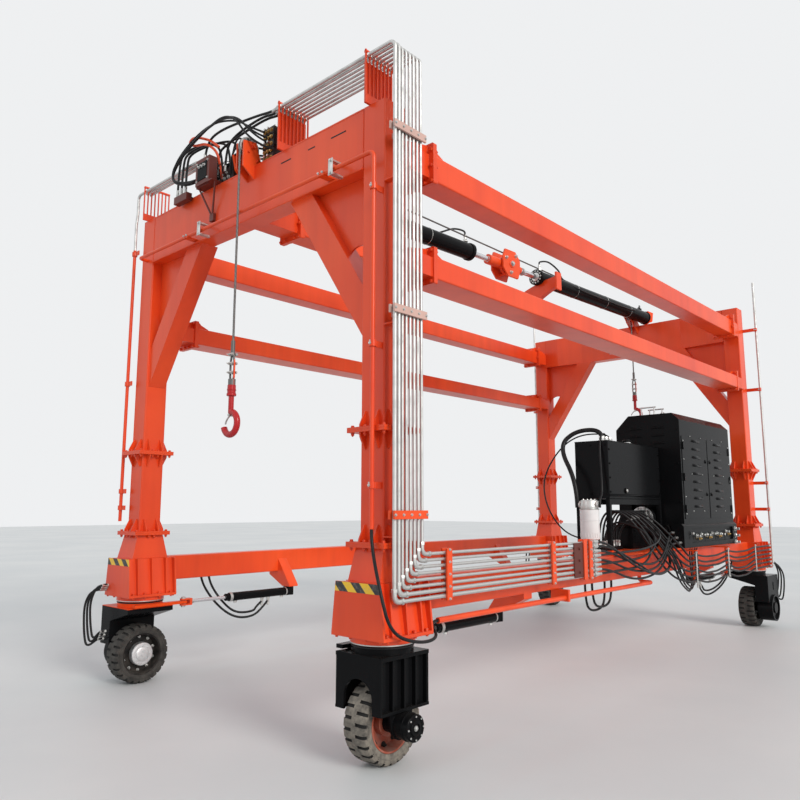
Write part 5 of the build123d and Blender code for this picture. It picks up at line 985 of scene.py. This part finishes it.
def rope_details():
    """Strands laid round the ropes, clips above the eye and the hooks' latches."""
    for end, y, rise in (("front", -3.98, 0.0), ("rear", 3.58, 0.78)):
        form = Form(f"rope_strands_{end}", "rope_steel")
        top, low = 4.70, 2.94 + rise
        turns = (top - low) / LAY_LENGTH
        count = int(turns * 10)
        for strand in range(STRANDS):
            path = []
            for t in (n / count for n in range(count + 1)):
                angle = math.tau * (turns * t + strand / STRANDS)
                x, side = (0.0062 * wave(angle) for wave in (math.cos, math.sin))
                path.append((ROPE_X + x, y + side, top + (low - top) * t))
            form.bar(path, 0.0038, 5)
        clips = Form(f"rope_clips_{end}")
        for z in (2.875 + rise, 2.8 + rise, 2.725 + rise):
            clips.nuts([(ROPE_X + side * 0.02, y - 0.018, z) for side in SIDES], FRONT, 0.016, 0.011, 0.012)
            clips.slab((ROPE_X, y + 0.012, z), (0.062, 0.02, 0.02), 0.004, BACK)
            clips.slab((ROPE_X, y - 0.008, z), (0.056, 0.02, 0.008), 0.003, FRONT)
        hook = f"hook_{end}_body"
        latch = Form(f"hook_latch_{end}", body=hook)
        path = [(ROPE_X + x, y, 2.308 + rise + z) for x, z in LATCH]
        latch.bar(smooth_path(path, 0.01), 0.007, 8)
        latch.slab((ROPE_X, y, 2.364 + rise), (0.026, 0.05, 0.02), 0.004)
        collar = Form(f"hook_collar_{end}", "hook_red", hook)
        ring = ((0.034, 0), (0.039, 0.003), (0.039, 0.02), (0.034, 0.024))
        collar.lathe((ROPE_X, y, 2.53 + rise), UP, ring, 32, True)
        collar.lathe((ROPE_X, y, 2.575 + rise), UP, sleeve(0.034, 0.038, 0.011), 32, True)


def sheave_details():
    bolts = Form("sheave_bolts", "orange_paint")
    rims = Form("sheave_rims")
    for (y, low), side in product(((-3.89, -3.93), (3.49, 3.525)), SIDES):
        x = ROPE_X + side * 0.0535
        bolts.nut((x, y, 4.71), (side, 0, 0), 0.036, 0.02)
        bolts.nuts(((x, low, 4.65), (x, y + 0.05, 4.59)), (side, 0, 0), 0.018, 0.011)
        rims.lathe((ROPE_X + side * 0.0115, y, 4.71), (side, 0, 0),
                   ((0.084, 0), (0.097, 0.001), (0.097, 0.0045), (0.086, 0.0055), (0.05, 0.0055), (0.05, 0)),
                   44, True)


def wheel_hoses():
    """Motor hoses that loop from the leg base out to the fork's outer leg, loose enough for the steering."""
    for corner, sx, sy, cx, cy in CORNERS[1::2]:
        fork = f"fork_{corner}_body"
        ends = Form(f"motor_hose_ends_{corner}", body=fork)
        roots = Form(f"motor_hose_roots_{corner}")
        for n in range(3):
            shift = 0.035 * n
            start = Vector((cx + sx * (0.17 + 0.02 * n), cy + sy * 0.24, 0.90 - shift * 0.6))
            low = Vector((cx + sx * (0.19 + 0.02 * n), cy + sy * 0.228, 0.47 - shift))
            moves = ((start, 0, 0, 0), (start, 0, 0.05, 0.005), (start, 0.07, 0.09 + shift * 0.5, -0.04),
                     (start, 0.11 + shift * 0.3, 0.115 + shift * 0.4, -0.20),
                     (low, 0.06 + shift * 0.3, 0.105 + shift * 0.4, -0.04), (low, 0, 0.06, 0), (low, 0, 0, 0))
            form = Form(f"motor_hose_{corner}_{n}", "hose_rubber", bend=(fork, start, low))
            path = [at + Vector((sx * x, sy * y, z)) for at, x, y, z in moves]
            form.bar(smooth_path(path, 0.015), 0.0105, 12)
            for piece, at in ((ends, low), (roots, start)):
                ferrule(piece, at + Vector((0, sy * 0.02, 0)), (0, sy, 0), 0.0105)


def steering_details():
    """Pins, glands and plugs of each steering cylinder, and its two hoses from the sill."""
    for corner, sx, sy, cx, cy in CORNERS:
        x, pin_y, base_y, z = sx * (LEG_X - 0.222), sy * (LEG_Y - 0.33), sy * (LEG_Y - 1.65), 0.725
        cylinder = f"cylinder_{corner}"
        rod = Form(f"steer_pin_{corner}", "bright_steel", f"rod_{corner}")
        for side in SIDES:
            rod.nut((x, pin_y, z + side * 0.032), (0, 0, side), 0.034, 0.012)
        rod.lathe((x, pin_y - sy * 0.082, z), (0, -sy, 0), sleeve(0.0172, 0.026, 0.024), 6, True)
        barrel = Form(f"steer_fittings_{corner}", body=cylinder)
        barrel.nuts([(x, base_y + sy * y, z - 0.0415) for y in (0.12, 0.72)], DOWN, 0.03, 0.016)
        gland = ((0.0422, -0.03), (0.0455, -0.028), (0.0455, -0.003), (0.0425, 0))
        barrel.lathe((x, base_y + sy * 0.798, z), (0, sy, 0), gland, 32, True)
        barrel.lathe((x, base_y + sy * 0.066, z), (0, sy, 0), sleeve(0.0422, 0.045, 0.014), 32, True)
        pivot = Form(f"steer_pivot_{corner}", "orange_paint")
        pivot.nut((x, base_y, 0.807), UP, 0.04, 0.016, 0.012)
        if corner == "front_right":
            continue
        ends = Form(f"steer_hose_ends_{corner}", body=cylinder)
        for n in range(2):
            y, down = 2.4 + 0.08 * n, 0.5 + 0.05 * n
            start, end = Vector((sx * 1.6, sy * (3.1 - 0.09 * n), 0.932)), Vector((x, sy * y, z - 0.075))
            hose = Form(f"steer_hose_{corner}_{n}", "hose_rubber", bend=(cylinder, start, end))
            hose.run([start, start + Vector((0, -sy * 0.02, -0.09)),
                      (sx * 1.53, sy * (2.93 - 0.06 * n), 0.62 + 0.03 * n), (sx * 1.43, sy * 2.78, down),
                      (sx * 1.4, sy * 2.58, down), (sx * 1.394, sy * (y + 0.07), 0.58 + 0.02 * n), end],
                     0.0115)
            ends.nut(end + Vector((0, 0, 0.034)), DOWN, 0.03, 0.016)
            ferrule(ends, end + Vector((0, 0, -0.002)), DOWN, 0.0105)


def valve_details():
    """Coil caps, plugs, hose unions and small pipes of the valve group on the front beam."""
    base, top = BEAM_TOP + 0.012, BEAM_TOP + 0.141
    steel = Form("valve_unions")
    brass = Form("valve_caps", "brass")
    black = Form("valve_coils", "black_paint")
    wires = Form("valve_wires", "hose_rubber")
    for n in range(5):
        x = -0.57 + 0.07 * n
        black.lathe((x, -3.75, top + 0.045), UP, sleeve(0.0242, 0.0265, 0.038), 20)
        brass.nut((x, -3.75, top + 0.0945), UP, 0.024, 0.012, washer=False)
        black.slab((x, -3.778, top + 0.05), (0.022, 0.026, 0.03), 0.003)
        steel.nut((x, -3.81, base + 0.05), FRONT, 0.026, 0.014)
        steel.nut((x + 0.035, -3.81, base + 0.1), FRONT, 0.018, 0.01)
        wires.bar(smooth_path([(x, -3.792, top + 0.066), (x, -3.82, top + 0.066),
                               (x - 0.03, -3.86, top + 0.04), (x - 0.05, -3.868, BEAM_TOP + 0.02),
                               (-0.66 + 0.02 * n, -3.85, BEAM_TOP + 0.01)]), 0.0035, 8)
        z = base + 0.031 + 0.062 * n
        for x in (0.24, 0.285, 0.33):
            brass.nut((x, -3.81, z), FRONT, 0.022, 0.012)
            if n % 2 == 0:
                steel.lathe((x, -3.824, z), FRONT, nozzle(0.007, 0.01, 0.012, 0.03), 12)
        black.slab((0.195, -3.75, z - 0.018), (0.03, 0.06, 0.036), 0.004)
        steel.nut((0.18, -3.75, z), LEFT, 0.02, 0.01)
    for x, y, z in ((-0.56, -3.704, top), (-0.43, -3.704, top), (-0.3, -3.704, top), (-0.375, -3.796, top),
                    (-0.505, -3.796, top), (-0.53, -3.9145, 4.81), (-0.97, -3.925, 4.582),
                    (-0.9, -3.925, 4.582), (-0.83, -3.925, 4.582)):
        ferrule(steel, (x, y, z + 0.02), UP)
    steel.nuts(product((0.235, 0.335), (-3.78, -3.72), (base + 0.31,)), UP, 0.02, 0.014, 0.01)
    steel.nuts(product((-0.585, -0.415), (-3.957,), (4.6, 4.77)), FRONT, 0.014, 0.008)
    black.slab((-0.5, -3.957, 4.6), (0.15, 0.012, 0.17), 0.003)
    for x in (-0.545, -0.5, -0.455):
        steel.lathe((x, -3.963, 4.73), FRONT, ((0.013, 0), (0.013, 0.006), (0.009, 0.009), (0.008, 0.02),
                                               (0.005, 0.022)), 18)


def comb_details():
    """Bolts, keepers, back plates and unions of the combs on the front beam."""
    bolts = Form("comb_bolts", "orange_paint")
    keepers = Form("comb_keepers")
    plates = Form("comb_back_plates", "orange_paint")
    for x in COMB_XS:
        bolts.nuts([(x + side * 0.02, -3.79, 4.562) for side in SIDES], UP, 0.02, 0.012)
        bolts.nuts([(x, PIPE_Y + 0.039 * place, 4.961) for place in BETWEEN_PIPES], UP, 0.013, 0.009)
        for _, radius, _, y, _, top in PIPES:
            keepers.lathe((x - 0.016, y, top), RIGHT, sleeve(radius + 0.0003, radius + 0.003, 0.032, 0.001),
                          16, True)
        plates.slab((x - 0.016, -3.757, 4.553), (0.004, 0.3, 0.335), 0.001)
    unions = Form("comb_unions")
    elbows = Form("comb_elbows", "brass")
    for n, _, _, y, _, top in PIPES:
        ferrule(unions, (0.494, y, top), LEFT)
        if n > 2:
            elbows.nut((0.447, y, top), LEFT, 0.026, 0.02, washer=False)
        if n > 4:
            low = top - 0.1 - 0.03 * (n - 5)
            elbows.run([(0.44, y, top), (0.405, y, top), (0.405, y, low + 0.01)], 0.009, 10, step=0.01)
            ferrule(unions, (0.405, y, low), DOWN)


def beam_trim():
    """Painted shade of the slots in the beam's face as thin dark strips, conduit brackets, the orange hose
    loop and the block on the sill's pipes.
    """
    # thin dark rubber strips on the beam's face: painted shade inside the slots
    slots = Form("beam_slot_shades", "seal_rubber")
    for x, width in ((0.6015, 0.129), (0.921, 0.084), (1.234, 0.168)):
        slots.slab((x, -3.8596, 4.442), (width, 0.012, 0.0012), 0.0004, FRONT)
    brackets = Form("conduit_brackets")
    for x in (-0.485, 1.283):
        brackets.slab((x, -3.9775, 4.125), (0.05, 0.13, 0.004), 0.001, FRONT)
        for z in (4.075, 4.175):
            brackets.nut((x, -3.9815, z), FRONT, 0.017, 0.009)
            brackets.slab((x, -3.862, z), (0.036, 0.016, 0.118), 0.001, FRONT)
    loop = Form("orange_hose_loop", "orange_paint")
    loop.bar(smooth_path([(-0.36, -3.88, 4.90), (-0.47, -3.92, 4.99), (-0.66, -3.95, 5.07),
                          (-0.745, -3.95, 5.05), (-0.67, -3.945, 4.995), (-0.5, -3.925, 4.955),
                          (-0.4, -3.88, 4.86), (-0.4, -3.83, 4.72), (-0.4, -3.81, 4.62)]), 0.012, 12)
    block = Form("sill_pipe_block", "brown_primer")
    block.slab((1.866, -1.55, 1.035), (0.012, 0.17, 0.295), 0.003)
    block.nuts([(1.872, -1.55, z) for z in (1.08, 1.18, 1.28)], RIGHT, 0.018, 0.01)


def strap_bolts():
    """Screws of the straps on the single pipes and conduits."""
    form = Form("strap_screws")
    for z in (3.85, 2.73, 1.78):
        form.nut((1.703, -3.976, z), FRONT, 0.014, 0.008)
        form.nut((1.703, -3.976, z + 0.016), FRONT, 0.008, 0.004)
    form.nuts([(x, -3.977, 4.115) for x in (-0.737, -0.693, 1.143, 1.187)], FRONT, 0.013, 0.008)
    form.nuts([(-1.842, -3.9, z) for z in (4.22, 2.86, 1.79, 1.63)], LEFT, 0.014, 0.008)
    form.nuts(product((-1.904, -1.884, 1.884, 1.904), (3.843,), (4.227, 3.337, 1.982, 1.612)), FRONT, 0.012,
              0.007)


def weld_seams():
    """Seams along the box beams, the haunch braces and the boots."""
    form = Form("weld_seams", "orange_paint")
    for sy in SIDES:
        face = sy * 3.86
        for x in (-1.5, -0.5, 0.5):
            form.bead((x, face, BEAM_TOP - 0.012), (x + 1, face, BEAM_TOP - 0.012), 0.004)
        for sx in SIDES:
            low, edge = BEAM_LOW + 0.002, face - sy * 0.025
            form.bead((sx * 1.504, face, BEAM_LOW + 0.02), (sx * 1.504, face, BEAM_TOP - 0.02), 0.005)
            form.bead((sx * 0.652, edge, low), (sx * 0.912, edge, low), 0.006)
            for y in (sy * 3.664, sy * 3.836):
                form.bead((sx * 1.505, y, 2.815), (sx * 1.505, y, 3.175), 0.006)
    for corner, _, _, cx, cy in CORNERS:
        for y, place in product((cy - 0.176, cy + 0.176), (-0.12, 0.12)):
            form.bead((cx + place, y, BOOT_TOP + 0.002), (cx + place / 2, y, BOOT_TOP + 0.002), 0.005)
        for x in (cx - 0.15, cx + 0.15):
            form.bead((x, cy - 0.175, BOOT_TOP + 0.001), (x, cy + 0.175, BOOT_TOP + 0.001), 0.005)
        for z, turn in product((1.409, 2.141, 2.179), range(4)):
            across, along = column_side(turn)
            start = Vector((cx, cy, z)) + across * 0.111
            form.bead(start - along * 0.098, start + along * 0.098, 0.005)


for step in (joint_bolts, side_beam_bolts, boot_details, boot_stripes, tyres, wheel_faces, pipe_fittings,
             clamp_bolts, enclosure_details, skirt_valves, tank_details, pump_details, hose_fittings,
             power_hoses, beam_hoses, hanger_details, lift_details, rope_details, sheave_details,
             wheel_hoses, steering_details, valve_details, comb_details, beam_trim, strap_bolts, weld_seams):
    step()
for form in Form.made:
    form.finish()
dress_frame()


# Camera, light and floor

CAMERA_PLACE = (5.061, -7.338, 1.638)
CAMERA_YAW = 42.523
CAMERA_PITCH = 8.423
CAMERA_ROLL = 0.03
PHOTO_SIZE = 800
FOCAL_PIXELS = 723.2
FLOOR_REACH = 60


def turned(degrees, axis):
    return Matrix.Rotation(math.radians(degrees), 4, axis)


def set_camera():
    lens = bpy.data.cameras.new("camera")
    camera = linked("camera", lens)
    lens.sensor_width = 36
    lens.lens = FOCAL_PIXELS / PHOTO_SIZE * lens.sensor_width
    lens.clip_end = 300
    camera.location = CAMERA_PLACE
    turn = turned(CAMERA_YAW, "Z") @ turned(90 + CAMERA_PITCH, "X") @ turned(CAMERA_ROLL, "Z")
    camera.rotation_euler = turn.to_euler()
    bpy.context.scene.camera = camera


def add_sun(name, strength, direction, angle, colour):
    lamp = bpy.data.lights.new(name, "SUN")
    lamp.energy = strength
    lamp.angle = math.radians(angle)
    lamp.color = colour
    sun = linked(name, lamp)
    sun.rotation_euler = Vector(direction).to_track_quat("-Z", "Y").to_euler()


def set_light():
    """A studio sky that is brighter where the camera and reflections see it, and two soft suns."""
    world = bpy.data.worlds.new("studio")
    bpy.context.scene.world = world
    world.use_nodes = True
    tree = world.node_tree
    tree.nodes.clear()
    output, path, seen, lit, chosen, shown = (tree.nodes.new(f"ShaderNode{kind}") for kind in (
        "OutputWorld", "LightPath", "Background", "Background", "MixShader", "Math"))
    seen.inputs["Color"].default_value = (0.86, 0.87, 0.88, 1)
    lit.inputs["Color"].default_value = (0.92, 0.95, 1.0, 1)
    lit.inputs["Strength"].default_value = 0.64
    shown.operation = "MAXIMUM"
    for start, end in ((path.outputs["Is Camera Ray"], shown.inputs[0]),
                       (path.outputs["Is Glossy Ray"], shown.inputs[1]),
                       (shown.outputs[0], chosen.inputs["Fac"]), (lit.outputs[0], chosen.inputs[1]),
                       (seen.outputs[0], chosen.inputs[2]), (chosen.outputs[0], output.inputs["Surface"])):
        tree.links.new(start, end)
    add_sun("key", 2.15, (-0.92, 0.1, -0.45), 24, (1, 0.97, 0.93))
    add_sun("fill", 0.3, (0.3, 0.85, -0.4), 60, (0.93, 0.96, 1))
    bpy.context.scene.view_settings.view_transform = "Standard"


def add_floor():
    mesh = bpy.data.meshes.new("floor")
    corners = [(x * FLOOR_REACH, y * FLOOR_REACH, 0) for x, y in ((-1, -1), (1, -1), (1, 1), (-1, 1))]
    mesh.from_pydata(corners, [], [(0, 1, 2, 3)])
    floor = linked("floor", mesh)
    made = Finish("pale_floor")
    colour = made.blend(made.patches(0.3, 0.7, 0.35, 5.0), (0.6, 0.62, 0.62), (0.68, 0.69, 0.68))
    mesh.materials.append(made.surface(colour, 0.55, made.bump(made.noise(30.0, 3.0), 0.05, 0.002)))


set_camera()
set_light()
add_floor()
